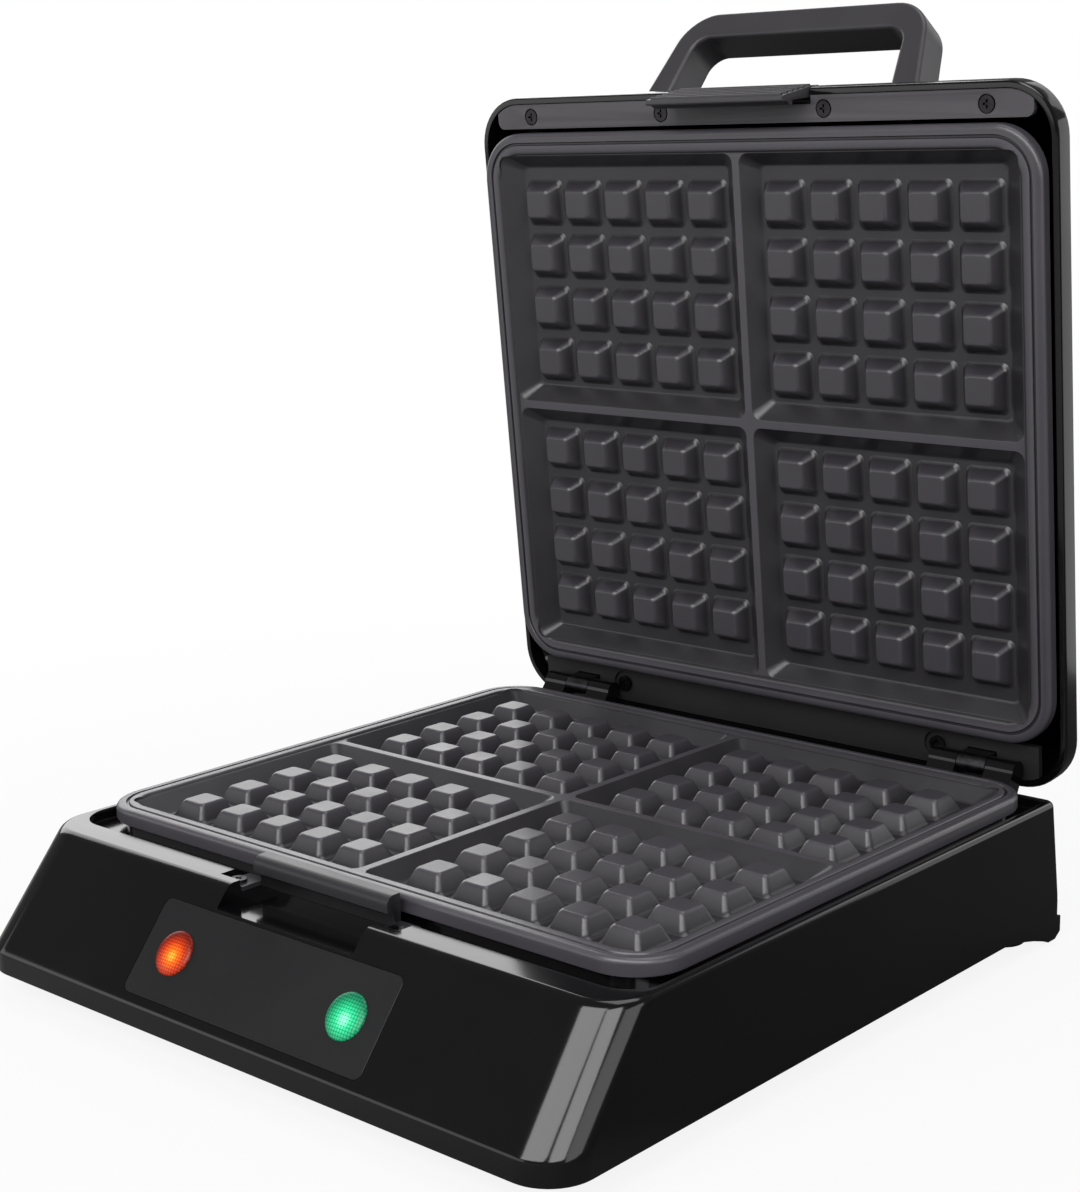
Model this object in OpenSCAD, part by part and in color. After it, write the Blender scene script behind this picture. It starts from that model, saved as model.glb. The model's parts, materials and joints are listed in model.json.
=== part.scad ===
// Four-place waffle maker with a hinged lid, drawn with the lid open.
// X runs to the right as the user faces the control panel, Y to the back, Z up.
// Everything is laid out about the centre of the lower baking plate, and placed() then
// moves it so that the origin lies under the middle of the whole machine, on the table.
// Lid pieces are drawn closed, and on_lid() swings them open about the hinge pins.

/* [Baking plates] */
// Width of each baking plate across its lip
plate_w = 260; // [240:1:280]
// Depth of each baking plate across its lip
plate_d = 227; // [210:1:240]
// Corner radius of the lip
plate_r = 19; // [12:0.5:24]
// Height of the lip, from the mating face to its underside
lip_h = 6; // [5:0.5:7]
// Overhang of the lip beyond the pan of the plate
lip_overhang = 6; // [5:0.5:7]
// Flat rim from the lip's edge to the pocket, at the sides
rim_side = 7.8; // [7:0.1:9]
// Flat rim from the lip's edge to the pocket, at the front and back
rim_end = 8.1; // [7:0.1:9]
// How far the ridges and dividers lie below the mating face
ridge_drop = 1; // [0.4:0.1:1.6]
// Depth of the pockets below the ridges
pocket_depth = 6; // [5:0.5:7]
// Metal under the pockets
plate_floor = 3; // [2.5:0.5:5]
// Sloping run of the pocket walls at the sides
wall_run_side = 8.9; // [6:0.1:10]
// Sloping run of the pocket walls at the front and back
wall_run_end = 6; // [4:0.1:8]
// Width of the flat top of the dividers
divider_top = 3; // [2:0.5:5]
// Sloping run of the divider walls
divider_run = 6.2; // [4:0.1:7]
// Corner radius of the pockets
pocket_r = 4; // [2:0.5:6]
// Pegs across one pocket
pegs_across = 5; // [3:1:6]
// Pegs along one pocket
pegs_along = 4; // [3:1:5]
// Width of a peg at its foot
peg_foot = 17.4; // [14:0.2:17.8]
// Width of a peg at its top
peg_top = 11; // [8:0.2:13]
// Height of a peg
peg_h = 6.3; // [4:0.1:6.8]
// Gap from the outer pegs to the pocket's side walls
peg_gap_side = 1.85; // [1:0.05:3]
// Gap from the first pegs to the divider that runs from side to side
peg_gap_mid = 2.8; // [1:0.1:4]
// Gap from the last pegs to the pocket's front or back wall
peg_gap_end = 6; // [3:0.1:8]

/* [Base housing] */
// Height of the mating face of the lower plate above the table
mating_z = 58.6; // [56:0.2:62]
// Height of the housing's underside above the table
foot_h = 8; // [6:0.5:10]
// Height of the upright skirt round the foot of the housing
skirt_h = 8; // [5:0.5:10]
// Gap between the housing's top edge and the plate's mating face
rim_gap = 5.1; // [4:0.1:6.5]
// Distance from the plate's side to the housing's top edge
side_margin = 5.7; // [5:0.1:10]
// How much wider each side is at the skirt
base_draft = 1.6; // [0.5:0.1:4]
// Distance from the plate's front to the housing's front top edge
front_margin = 18.7; // [17.5:0.1:24]
// How much further forward the skirt stands than the front top edge
front_run = 30.3; // [24:0.1:36]
// Distance from the plate's back to the housing's back edge at the top
back_margin = 4.7; // [3.5:0.1:5.5]
// How much further back the skirt stands
back_lean = 2.8; // [1:0.1:4]
// Plan radius of the housing's front corners
front_r = 16; // [10:1:20]
// Plan radius of the housing's back corners
back_r = 4; // [2.9:0.1:6]
// Wall of the housing
wall = 2.6; // [2:0.1:2.8]
// Width of the raised top edge round the deck
edge_w = 3; // [2:0.1:4]
// Depth of the deck below the housing's top edge
deck_drop = 4; // [3:0.5:5]
// Width of the collar that carries the lower plate
collar_w = 2; // [1.5:0.1:3]
// Gap between the clip and each side of the latch notch
notch_gap = 0.8; // [0.5:0.1:2]
// Depth of the notch below the plates' mating face
notch_drop = 12.3; // [12.1:0.1:14]
// Distance from the plate's front to the back of the notch
notch_margin = 6; // [5.5:0.1:7]
// Diameter of the supply cord's hole through its bush
cord_hole_d = 7.2; // [6:0.1:9]
// Sideways place of the cord bush
cord_x = -48; // [-60:1:-20]
// Height of the cord bush above the table
cord_z = 29; // [26:0.5:32]
// Distance from the skirt's side to the middle of each front foot
front_foot_in = 20.3; // [16:0.1:24]
// Distance from the plate's centre to the middle of each front foot
front_foot_y = 85; // [80:0.5:100]
// Distance from the skirt's side to the middle of each rear foot
rear_foot_in = 16.3; // [15:0.1:20]
// Distance from the skirt's back to the middle of each rear foot
rear_foot_up = 15; // [14:0.5:20]
// Length of the leg at each back corner
leg_l = 37; // [30:0.5:45]

/* [Front panel] */
// Width of the panel
panel_w = 113.8; // [100:0.5:120]
// Height of the panel along the slope
panel_h = 34; // [30:0.5:36]
// Distance up the slope from the skirt to the panel's lower edge
panel_up = 3.7; // [2:0.1:4]
// Thickness of the panel
panel_t = 1.2; // [0.8:0.1:1.6]
// Corner radius of the panel
panel_r = 3; // [1:0.5:6]
// Distance of each lamp from the middle
lamp_x = 41.3; // [36:0.1:44]
// Diameter of each lamp's lens
lens_d = 14; // [12:0.5:16]
// How far the lenses bulge above the panel
lens_rise = 2; // [1:0.1:3]
// Diameter of a lens's stem inside the housing
stem_d = 12; // [9:0.5:13]

/* [Latch catch] */
// Distance from the plate's front to the catch bar's front
bar_margin = 8.5; // [8:0.1:8.7]
// Depth of the catch bar from front to back
bar_d = 6; // [5:0.1:6.5]
// Height of the catch bar
bar_h = 6; // [5:0.1:6.4]
// Gap between the catch bar and each side of the notch
bar_gap = 0.6; // [0.3:0.1:4]
// How far the catch bar's top stands above the mating face
bar_rise = 1.9; // [1:0.1:2.2]
// Depth of the web that carries the bar
web_d = 3; // [2.5:0.1:3.5]
// Length of the screw ear at each end of the catch
ear_l = 9; // [8:0.5:12]

/* [Hinge] */
// Distance from the plate's back to the hinge axis
hinge_margin = 10.7; // [10.5:0.1:11.3]
// Height of the hinge axis above the plates' mating face
hinge_rise = 0.5; // [0:0.1:0.8]
// Angle from closed to the open stop
open_angle = 84.7; // [70:0.1:88]
// Distance from the plate's side to the middle of each hinge
hinge_in = 32; // [28:0.5:36]
// Length of the lid's knuckle
knuckle_l = 12; // [10:0.5:14]
// Radius of the knuckles
knuckle_r = 4.2; // [3.8:0.05:4.3]
// Width of each housing ear beside the knuckle
ear_w = 11.7; // [8:0.1:13]
// Diameter of the hinge pins
pin_d = 4; // [3:0.1:4.4]

/* [Lid] */
// Height of the lid's edge above the mating face
lid_gap = 5; // [4.9:0.1:6]
// Distance from the plate's side to the lid's side
lid_side_margin = 4; // [3.5:0.1:8]
// Distance from the plate's front to the lid's front
lid_front_margin = 14.3; // [14.3:0.1:16.5]
// Distance from the plate's back to the lid's back
lid_back_margin = 18.5; // [18:0.1:22.5]
// Plan radius of the lid's corners
lid_r = 20; // [15:1:24]
// Height of the upright band round the lid
lid_band = 8.2; // [7:0.1:10]
// Height of the lid above the mating face
lid_h = 48; // [46:0.5:52]
// Lean of the sloping faces of housing and lid from the upright
lean = 39; // [36:0.5:42]
// Radius of the lid's rounded top edges
lid_top_r = 12; // [8:0.5:14]
// Wall of the lid
lid_wall = 2.6; // [2:0.1:2.8]
// Depth of the trim strip behind the lid's edge
trim_inset = 0.5; // [0.3:0.1:1]
// Thickness of the trim strips
trim_t = 2.5; // [2:0.1:3]

/* [Handle] */
// Half width of the handle where it leaves the lid
handle_half = 66; // [60:0.5:70]
// Reach of the handle out from the lid's slope
handle_reach = 46; // [40:0.5:50]
// Lean of the handle's arms towards the middle
arm_lean = 12.5; // [8:0.5:15]
// Thickness of the handle's arms and grip
grip_t = 11.5; // [10:0.5:14]
// Depth of the handle along the slope
handle_d = 16; // [12:0.5:18]
// Distance up the lid's slope to the handle
handle_up = 13.3; // [10:0.1:14]
// Outer corner radius of the handle
handle_r = 16; // [13:0.5:18]

/* [Latch clip] */
// Half width of the clip
clip_half = 31.8; // [28:0.1:32]
// Height of the clip's pivot above the mating face
pivot_rise = 13.4; // [13:0.1:14]
// Distance from the plate's front to the clip's pivot
pivot_margin = 9; // [8.8:0.1:9.3]
// Diameter of the clip's pin
clip_pin_d = 3; // [2.4:0.1:3.2]
// Radius of the clip's barrel round the pin
barrel_r = 3; // [2.7:0.1:3.1]
// How far the clip's tip hangs below the mating face when shut
tip_drop = 11.4; // [11:0.1:11.6]
// Thickness of the clip's tab
tab_t = 2.2; // [1.8:0.1:2.6]
// Depth of the hook's lip
hook_d = 1.6; // [1.2:0.1:1.8]
// Pitch of the finger ribs
rib_pitch = 3.6; // [3:0.1:5]
// Number of finger ribs
rib_count = 6; // [3:1:6]

/* [Heating and fasteners] */
// Diameter of the heating elements' sheath
element_d = 6.4; // [5:0.1:6.6]
// Sheet thickness of the heat shields
sheet_t = 1; // [0.6:0.1:1.5]
// Length of the cast bosses behind each plate
boss_h = 8; // [7.5:0.1:9]
// Radius of the plate screws
plate_screw_r = 2; // [1.5:0.1:2.5]
// Distance of the plate screws from the middle, sideways
plate_screw_x = 52; // [44:0.5:60]
// Distance of the plate screws from the middle, front to back
plate_screw_y = 26; // [22:0.5:30]
// Distance from the pan's side to the posts that carry each plate group
post_in_x = 24; // [20:0.5:30]
// Distance from the pan's front or back to those posts
post_in_y = 29.5; // [24:0.5:34]
// Length of the cover screws
cover_screw_l = 12; // [10:0.5:14]
// Length of the catch screws
catch_screw_l = 4; // [3.5:0.1:5]
// Length of the front strip's screws
trim_screw_l = 8; // [6:0.5:10]
// Length of the hinge screws
hinge_screw_l = 11; // [9:0.5:13]
// Length of the handle screws inside the handle
handle_screw_l = 11; // [9:0.5:13]
// Height of the small screws' heads
low_head_h = 1.1; // [0.8:0.1:1.2]
// Depth of the recess round each strip screw
head_recess = 1.2; // [1.1:0.1:1.6]
// Radius of the small screws' heads
small_head_r = 2.9; // [2.4:0.1:3.2]
// Radius of the small screws' shanks
small_shank_r = 1.4; // [1.2:0.1:1.5]
// Thickness of the bottom cover
cover_t = 2.5; // [2:0.1:3]
// Radius of the front feet
foot_r = 10; // [8:0.5:12]

/* [Clearances] */
// Gap round pieces that drop into a recess
fit_gap = 0.15; // [0.1:0.05:0.3]
// Gap round the plates' pans and between moving neighbours
pan_gap = 0.5; // [0.3:0.1:0.8]
// Running clearance of pins and screws in their holes, on the radius
run_gap = 0.05; // [0.02:0.01:0.08]
// Side clearance of the knuckles and of the clip
side_gap = 0.3; // [0.2:0.05:0.5]
// Gap between the hook's lip and the catch bar as the lid shuts
hook_gap = 0.4; // [0.3:0.05:0.5]

/* [Hidden] */

$fn = 48;
hull_fn = 32;
eps = 0.01;
cut = 1;

pan_w = plate_w - 2 * lip_overhang;
pan_d = plate_d - 2 * lip_overhang;
pan_r = plate_r - lip_overhang;
pocket_w = plate_w - 2 * rim_side;
pocket_d = plate_d - 2 * rim_end;
pan_h = ridge_drop + pocket_depth + plate_floor;
floor_x0 = divider_top / 2 + divider_run;
floor_x1 = pocket_w / 2 - wall_run_side;
floor_y0 = divider_top / 2 + divider_run;
floor_y1 = pocket_d / 2 - wall_run_end;

base_half_w = plate_w / 2 + side_margin;
front_top = plate_d / 2 + front_margin;
front_foot = front_top + front_run;
back_top = plate_d / 2 + back_margin;
notch_half = clip_half + notch_gap;
notch_z = mating_z - notch_drop;
notch_back = plate_d / 2 + notch_margin;
bar_front = plate_d / 2 + bar_margin;
bar_half = notch_half - bar_gap;
hinge_y = plate_d / 2 + hinge_margin;
hinge_x = plate_w / 2 - hinge_in;
lid_half_w = plate_w / 2 + lid_side_margin;
lid_front = plate_d / 2 + lid_front_margin;
lid_back = plate_d / 2 + lid_back_margin;
pivot_front = plate_d / 2 + pivot_margin;
skirt_z = foot_h + skirt_h;
rim_z = mating_z - rim_gap;
deck_z = rim_z - deck_drop;
skirt_half_w = base_half_w + base_draft;
back_foot = back_top + back_lean;
front_lean = atan2(front_foot - front_top, rim_z - skirt_z);
front_len = norm([front_foot - front_top, rim_z - skirt_z]);
wall_run = wall / cos(front_lean);

hinge_z = mating_z + hinge_rise;
lid_edge_z = mating_z + lid_gap;
band_z = lid_edge_z + lid_band;
lid_top_z = mating_z + lid_h;
lid_cap_inset = (lid_top_z - lid_top_r - band_z) * tan(lean) + lid_top_r / cos(lean);
trim_z = lid_edge_z + trim_inset;
trim_top_z = trim_z + trim_t;
pivot_z = mating_z + pivot_rise;
tip_z = mating_z - tip_drop;
bar_top_z = mating_z + bar_rise;
bar_z = bar_top_z - bar_h;
catch_screw_x = bar_half + ear_l / 2 + 1;
hook_tip = bar_front + hook_gap;
tab_inner = hook_tip + hook_d;

shield_drop = pan_h + boss_h;
post_x = pan_w / 2 - post_in_x;
post_y = pan_d / 2 - post_in_y;
boss_xy = [for (sx = [-1, 1], sy = [-1, 1]) [sx * plate_screw_x, sy * plate_screw_y]];
shield_margin = 4;
cover_post_r = 4.5;
cover_post_x = skirt_half_w - wall - cover_post_r - 3.2;
cover_post_xy = [[cover_post_x - 9, front_r + 7 - front_foot], [cover_post_x, -20],
  [cover_post_x, back_foot - 43]];
trim_screw_x = [clip_half + 6.4, lid_half_w - 27.8];
trim_screw_y = -(lid_front - 8);
rear_screw_x = hinge_x - 20;
rear_screw_y = (plate_d / 2 + lid_back - lid_wall) / 2;
head_h = 1.8;
trim_front = lid_front - lid_wall - side_gap;
trim_back = plate_d / 2 + 1.5;
rear_trim_back = lid_back - lid_wall - side_gap;
arm_flange_t = 3;
lug_x = clip_half + side_gap * 3;
lug_t = 2.4;
handle_foot_x = handle_half - grip_t / 2 - 1;

// The open lid's rearmost point is the round of its back top edge, and the origin lies
// halfway between it and the front of the skirt.
lid_cap_y = lid_back - lid_cap_inset;
open_back = hinge_y + (lid_cap_y - hinge_y) * cos(open_angle)
  + (lid_top_z - lid_top_r - hinge_z) * sin(open_angle) + lid_top_r;
origin_y = (open_back - front_foot) / 2;

// ---- placing ----

module placed() {
  translate([0, -origin_y, 0]) children();
}

module on_lid() {
  placed() translate([0, hinge_y, hinge_z]) rotate([-open_angle, 0, 0])
    translate([0, -hinge_y, -hinge_z]) children();
}

// Local X across, Y up the housing's sloping front, Z out of it.
module on_front() {
  translate([0, -front_foot, skirt_z]) rotate([90 - front_lean, 0, 0]) children();
}

// The same on the lid's sloping front, from the top of its upright band.
module on_lid_front() {
  translate([0, -lid_front, band_z]) rotate([90 - lean, 0, 0]) children();
}

module both_sides() {
  children();
  mirror([1, 0, 0]) children();
}

// ---- shared shapes ----

module round_rect(w, d, r) {
  square([w - 2 * r, d], center = true);
  square([w, d - 2 * r], center = true);
  for (sx = [-1, 1], sy = [-1, 1])
    translate([sx * (w / 2 - r), sy * (d / 2 - r)]) circle(r);
}

// Flat outline of the same form as plan_slab, with one radius.
module plan_outline(half_w, front, back, r) {
  translate([0, (back - front) / 2]) round_rect(2 * half_w, front + back, r);
}

// Corner columns of a slab from front to back, with its own radius at each end. A hull
// round them fills the slab.
module plan_slab(half_w, front, back, r_front, r_back, h) {
  for (sx = [-1, 1]) {
    translate([sx * (half_w - r_front), r_front - front, 0]) cylinder(r = r_front, h = h);
    translate([sx * (half_w - r_back), back - r_back, 0]) cylinder(r = r_back, h = h);
  }
}

module rod_x(r, x0, x1, y, z) {
  translate([x0, y, z]) rotate([0, 90, 0]) cylinder(r = r, h = x1 - x0);
}

// Cross-head screw, head up, with its seat at z = 0.
module screw(head_r, shank_r, l, head = head_h) {
  difference() {
    union() {
      cylinder(r = head_r, h = head);
      translate([0, 0, -l]) cylinder(r = shank_r, h = l + eps);
    }
    translate([0, 0, head]) {
      cube([head_r * 1.1, head_r * 0.28, head_h], center = true);
      cube([head_r * 0.28, head_r * 1.1, head_h], center = true);
    }
  }
}

function arc(cx, cy, r, a0, a1, n) =
  [for (i = [0:n]) [cx + r * cos(a0 + (a1 - a0) * i / n), cy + r * sin(a0 + (a1 - a0) * i / n)]];

function spread(first, last, n) =
  [for (i = [0:n - 1]) first + (last - first) * i / (n - 1)];

// ---- baking plates ----

module corner_rect(x0, y0, x1, y1, r) {
  translate([(x0 + x1) / 2, (y0 + y1) / 2]) round_rect(x1 - x0, y1 - y0, r);
}

// One pocket in the quadrant of positive X and Y, cut down from the ridges.
module pocket_cut() {
  inner = divider_top / 2;
  hull($fn = hull_fn) {
    translate([0, 0, -ridge_drop]) linear_extrude(cut + ridge_drop)
      corner_rect(inner, inner, pocket_w / 2, pocket_d / 2, pocket_r);
    translate([0, 0, -ridge_drop - pocket_depth]) linear_extrude(eps)
      corner_rect(floor_x0, floor_y0, floor_x1, floor_y1, pocket_r / 2);
  }
}

module peg() {
  chamfer = 0.16;
  k = 1 - 2 * chamfer;
  s = peg_foot / 2;
  linear_extrude(peg_h, scale = peg_top / peg_foot)
    polygon([[s * k, -s], [s, -s * k], [s, s * k], [s * k, s],
      [-s * k, s], [-s, s * k], [-s, -s * k], [-s * k, -s]]);
}

module pegs() {
  xs = spread(floor_x0 + peg_gap_side + peg_foot / 2, floor_x1 - peg_gap_side - peg_foot / 2, pegs_across);
  ys = spread(floor_y0 + peg_gap_mid + peg_foot / 2, floor_y1 - peg_gap_end - peg_foot / 2, pegs_along);
  for (x = xs, y = ys, sx = [-1, 1], sy = [-1, 1])
    translate([sx * x, sy * y, -ridge_drop - pocket_depth - eps]) peg();
}

// Plate with its baking side up and its mating face at z = 0.
module baking_plate() {
  groove_out = rim_side * 0.46;
  groove_w = 1.2;
  difference() {
    union() {
      translate([0, 0, -lip_h]) linear_extrude(lip_h) round_rect(plate_w, plate_d, plate_r);
      translate([0, 0, -pan_h]) linear_extrude(pan_h - lip_h + eps) round_rect(pan_w, pan_d, pan_r);
      for (p = boss_xy) translate([p[0], p[1], -shield_drop])
        cylinder(r = plate_screw_r + 3, h = boss_h + eps);
    }
    translate([0, 0, -ridge_drop]) linear_extrude(cut + ridge_drop)
      round_rect(pocket_w, pocket_d, pocket_r + ridge_drop);
    translate([0, 0, -0.8]) linear_extrude(cut + 0.8) difference() {
      round_rect(plate_w - 2 * groove_out, plate_d - 2 * groove_out, plate_r - groove_out);
      round_rect(plate_w - 2 * groove_out - 2 * groove_w, plate_d - 2 * groove_out - 2 * groove_w,
        plate_r - groove_out - groove_w);
    }
    for (sx = [0, 1], sy = [0, 1]) mirror([sx, 0, 0]) mirror([0, sy, 0]) pocket_cut();
    for (p = boss_xy) translate([p[0], p[1], -shield_drop - cut])
      cylinder(r = plate_screw_r + run_gap, h = cut + boss_h);
  }
  pegs();
}

// Sheathed element: two long legs joined by a bend, both ends coming out at the right.
module element() {
  r = element_d / 2;
  leg_y = pan_d * 0.2884;
  bend = pan_d * 0.1209;
  x0 = -pan_w * 0.379;
  x1 = pan_w * 0.3548;
  turn_in = pan_w * 0.05645;
  tail_l = pan_d * 0.1023;
  z = -pan_h - r - run_gap;
  translate([0, 0, z]) {
    for (sy = [-1, 1]) {
      rod_x(r, x0 + bend, x1, sy * leg_y, 0);
      translate([x0 + bend, sy * (leg_y - bend), 0]) rotate([0, 0, sy > 0 ? 90 : 180])
        rotate_extrude(angle = 90) translate([bend, 0]) circle(r);
      translate([x1, sy * (leg_y - turn_in), 0]) rotate([0, 0, sy > 0 ? 0 : -90])
        rotate_extrude(angle = 90) translate([turn_in, 0]) circle(r);
      translate([x1 + turn_in, sy * (leg_y - turn_in), 0]) rotate([sy > 0 ? 90 : -90, 0, 0])
        cylinder(r = r, h = tail_l);
      translate([x1 + turn_in, sy * (leg_y - turn_in - tail_l), 0]) rotate([sy > 0 ? 90 : -90, 0, 0])
        cylinder(r = r / 3, h = tail_l / 3);
    }
    translate([x0, 0, 0]) rotate([90, 0, 0])
      cylinder(r = r, h = 2 * (leg_y - bend), center = true);
  }
}

// Sheet-metal tray behind the element, open towards the plate.
module shield() {
  w = pan_w - 2 * shield_margin;
  d = pan_d - 2 * shield_margin;
  side_h = boss_h - pan_gap;
  translate([0, 0, -shield_drop - sheet_t]) difference() {
    linear_extrude(sheet_t + side_h) round_rect(w, d, pan_r);
    translate([0, 0, sheet_t]) linear_extrude(side_h + cut)
      round_rect(w - 2 * sheet_t, d - 2 * sheet_t, pan_r - sheet_t);
    for (p = boss_xy) translate([p[0], p[1], -cut])
      cylinder(r = plate_screw_r + run_gap, h = sheet_t + 2 * cut);
  }
}

module plate_screws() {
  for (p = boss_xy) translate([p[0], p[1], -shield_drop - sheet_t]) mirror([0, 0, 1])
    screw(plate_screw_r * 1.9, plate_screw_r, boss_h);
}

// ---- base ----

module housing_outer() {
  hull($fn = hull_fn) {
    translate([0, 0, foot_h]) plan_slab(skirt_half_w, front_foot, back_foot, front_r, back_r, skirt_h);
    translate([0, 0, rim_z - cut]) plan_slab(base_half_w, front_top, back_top, front_r, back_r, cut);
  }
}

module housing_inner() {
  z1 = deck_z - wall;
  rise = (z1 - skirt_z) / (rim_z - skirt_z);
  front_in = front_foot - (front_foot - front_top) * rise - wall_run;
  back_in = back_foot - back_lean * rise - wall;
  side_in = skirt_half_w - base_draft * rise - wall;
  inner_back_r = max(back_r - wall, 0.3);
  hull($fn = hull_fn) {
    translate([0, 0, foot_h - cut])
      plan_slab(skirt_half_w - wall, front_foot - wall, back_foot - wall, front_r - wall, inner_back_r,
        skirt_h + cut - wall / 2);
    translate([0, 0, z1 - eps])
      plan_slab(side_in, front_in, back_in, front_r - wall, inner_back_r, eps);
  }
}

module deck_cut() {
  half_w = base_half_w - edge_w;
  opening_w = pan_w + 2 * pan_gap;
  opening_d = pan_d + 2 * pan_gap;
  collar_top = mating_z - lip_h;
  front = front_top - edge_w;
  back = back_top - edge_w;
  corner = front_r - edge_w;
  difference() {
    translate([0, 0, deck_z]) linear_extrude(rim_z - deck_z + cut)
      plan_outline(half_w, front, back, corner);
    translate([0, 0, deck_z - cut]) linear_extrude(collar_top - deck_z + cut)
      round_rect(opening_w + 2 * collar_w, opening_d + 2 * collar_w, pan_r + pan_gap + collar_w);
  }
  translate([0, 0, deck_z - wall - cut]) linear_extrude(wall + rim_z - deck_z + 2 * cut)
    round_rect(opening_w, opening_d, pan_r + pan_gap);
}

// Walls of the pocket behind the latch notch, trimmed by the housing's outside.
module notch_box() {
  intersection() {
    housing_outer();
    translate([-notch_half - wall, -front_foot, notch_z - wall])
      cube([2 * (notch_half + wall), front_foot - notch_back + wall, deck_z - notch_z + wall]);
  }
}

module notch_cut() {
  translate([-notch_half, -front_foot, notch_z])
    cube([2 * notch_half, front_foot - notch_back, rim_z - notch_z + cut]);
}

module hinge_post(x0) {
  root_z = rim_z - 14;
  translate([x0, 0, 0]) rotate([90, 0, 90]) linear_extrude(ear_w)
    polygon([[back_top - wall, root_z], [back_top + 0.4, root_z], [hinge_y + knuckle_r, hinge_z],
      [hinge_y - knuckle_r, hinge_z], [back_top - wall, rim_z]]);
  rod_x(knuckle_r, x0, x0 + ear_w, hinge_y, hinge_z);
}

module hinge_posts() {
  gap_half = knuckle_l / 2 + side_gap;
  hinge_post(hinge_x - gap_half - ear_w);
  hinge_post(hinge_x + gap_half);
}

// Leg that drops from the skirt at each back corner, cut from the skirt's own outline. It
// curves down to the leg's sole, which stays just clear of the table.
module corner_legs() {
  sole_z = 0.8;
  y0 = back_foot - leg_l;
  profile = [[y0 - 3, foot_h + cut], [y0, foot_h], [y0 + leg_l * 0.22, foot_h * 0.85],
    [y0 + leg_l * 0.46, foot_h * 0.575], [y0 + leg_l * 0.65, foot_h * 0.3],
    [y0 + leg_l * 0.76, sole_z], [y0 + leg_l * 0.89, sole_z],
    [back_foot + cut, 3], [back_foot + cut, foot_h + cut]];
  intersection() {
    difference() {
      hull($fn = hull_fn) plan_slab(skirt_half_w, front_foot, back_foot, front_r, back_r, foot_h + cut);
      translate([0, (back_foot - front_foot) / 2 - wall, 0])
        cube([2 * (skirt_half_w - wall), front_foot + back_foot, 4 * foot_h], center = true);
    }
    translate([-skirt_half_w - cut, 0, 0]) rotate([90, 0, 90])
      linear_extrude(2 * (skirt_half_w + cut)) polygon(profile);
  }
}

module cover_posts() {
  cover_top = foot_h + 1 + cover_t;
  post_top = mating_z - pan_h - pan_gap;
  intersection() {
    housing_outer();
    for (p = cover_post_xy, sx = [-1, 1]) translate([sx * p[0], p[1], cover_top])
      cylinder(r = cover_post_r, h = post_top - cover_top);
  }
}

module base_housing() {
  boss_r = 11;
  color([0.03, 0.03, 0.035]) difference() {
    union() {
      difference() {
        housing_outer();
        housing_inner();
        deck_cut();
      }
      notch_box();
      both_sides() hinge_posts();
      corner_legs();
      cover_posts();
      translate([cord_x, back_foot + 1, cord_z]) rotate([90, 0, 0]) cylinder(r = boss_r, h = wall + 2);
    }
    notch_cut();
    on_front() {
      translate([0, panel_up + panel_h / 2, -panel_t]) linear_extrude(panel_t + cut)
        round_rect(panel_w + 2 * fit_gap, panel_h + 2 * fit_gap, panel_r + fit_gap);
      for (sx = [-1, 1]) translate([sx * lamp_x, panel_up + panel_h / 2, -4 * wall])
        cylinder(r = stem_d / 2 + fit_gap, h = 5 * wall);
    }
    both_sides() rod_x(pin_d / 2 + run_gap, hinge_x - knuckle_l / 2 - side_gap - ear_w - cut,
      hinge_x + knuckle_l / 2 + side_gap + ear_w + cut, hinge_y, hinge_z);
    for (p = cover_post_xy, sx = [-1, 1]) translate([sx * p[0], p[1], foot_h])
      cylinder(r = small_shank_r + run_gap, h = cover_screw_l + 4);
    for (sx = [-1, 1]) translate([sx * catch_screw_x, -bar_front - 2, deck_z - wall - cut])
      cylinder(r = small_shank_r + run_gap, h = wall + 2 * cut);
    translate([cord_x, back_foot + 1 + cut, cord_z]) rotate([90, 0, 0])
      cylinder(r = cord_hole_d / 2 + wall + fit_gap, h = 4 * wall);
  }
}

module bottom_cover() {
  half_w = skirt_half_w - wall - side_gap;
  front = front_foot - wall - side_gap;
  back = back_foot - wall - side_gap;
  post_top = mating_z - shield_drop - sheet_t;
  slot_l = 44;
  slot_w = 3;
  slot_x = post_x - 45;
  color([0.08, 0.08, 0.085]) translate([0, 0, foot_h + 1]) difference() {
    union() {
      linear_extrude(cover_t) plan_outline(half_w, front, back, front_r);
      for (sx = [-1, 1], sy = [-1, 1]) translate([sx * post_x, sy * post_y, 0])
        cylinder(r = 6, h = post_top - foot_h - 1);
    }
    for (sx = [-1, 1], i = [0:5]) translate([sx * slot_x - slot_l / 2, (i - 5) * 3 * slot_w, -cut])
      cube([slot_l, slot_w, cover_t + 2 * cut]);
    for (p = cover_post_xy, sx = [-1, 1]) translate([sx * p[0], p[1], -cut])
      cylinder(r = small_shank_r + run_gap, h = cover_t + 2 * cut);
  }
}

module foot() {
  edge = foot_r * 0.15;
  difference() {
    rotate_extrude()
      polygon([[0, 0], [foot_r - edge, 0], [foot_r, edge], [foot_r, foot_h + 1], [0, foot_h + 1]]);
    translate([0, 0, -cut]) cylinder(r = foot_r / 2, h = 2 * cut);
  }
}

module front_feet() {
  color([0.12, 0.12, 0.12]) both_sides()
    translate([skirt_half_w - front_foot_in, -front_foot_y, 0]) foot();
}

module rear_feet() {
  color([0.12, 0.12, 0.12]) both_sides()
    translate([skirt_half_w - rear_foot_in, back_foot - rear_foot_up, 0]) foot();
}

module cover_screws() {
  color([0.5, 0.5, 0.52]) for (p = cover_post_xy, sx = [-1, 1])
    translate([sx * p[0], p[1], foot_h + 1]) mirror([0, 0, 1]) screw(small_head_r, small_shank_r, cover_screw_l);
}

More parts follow.
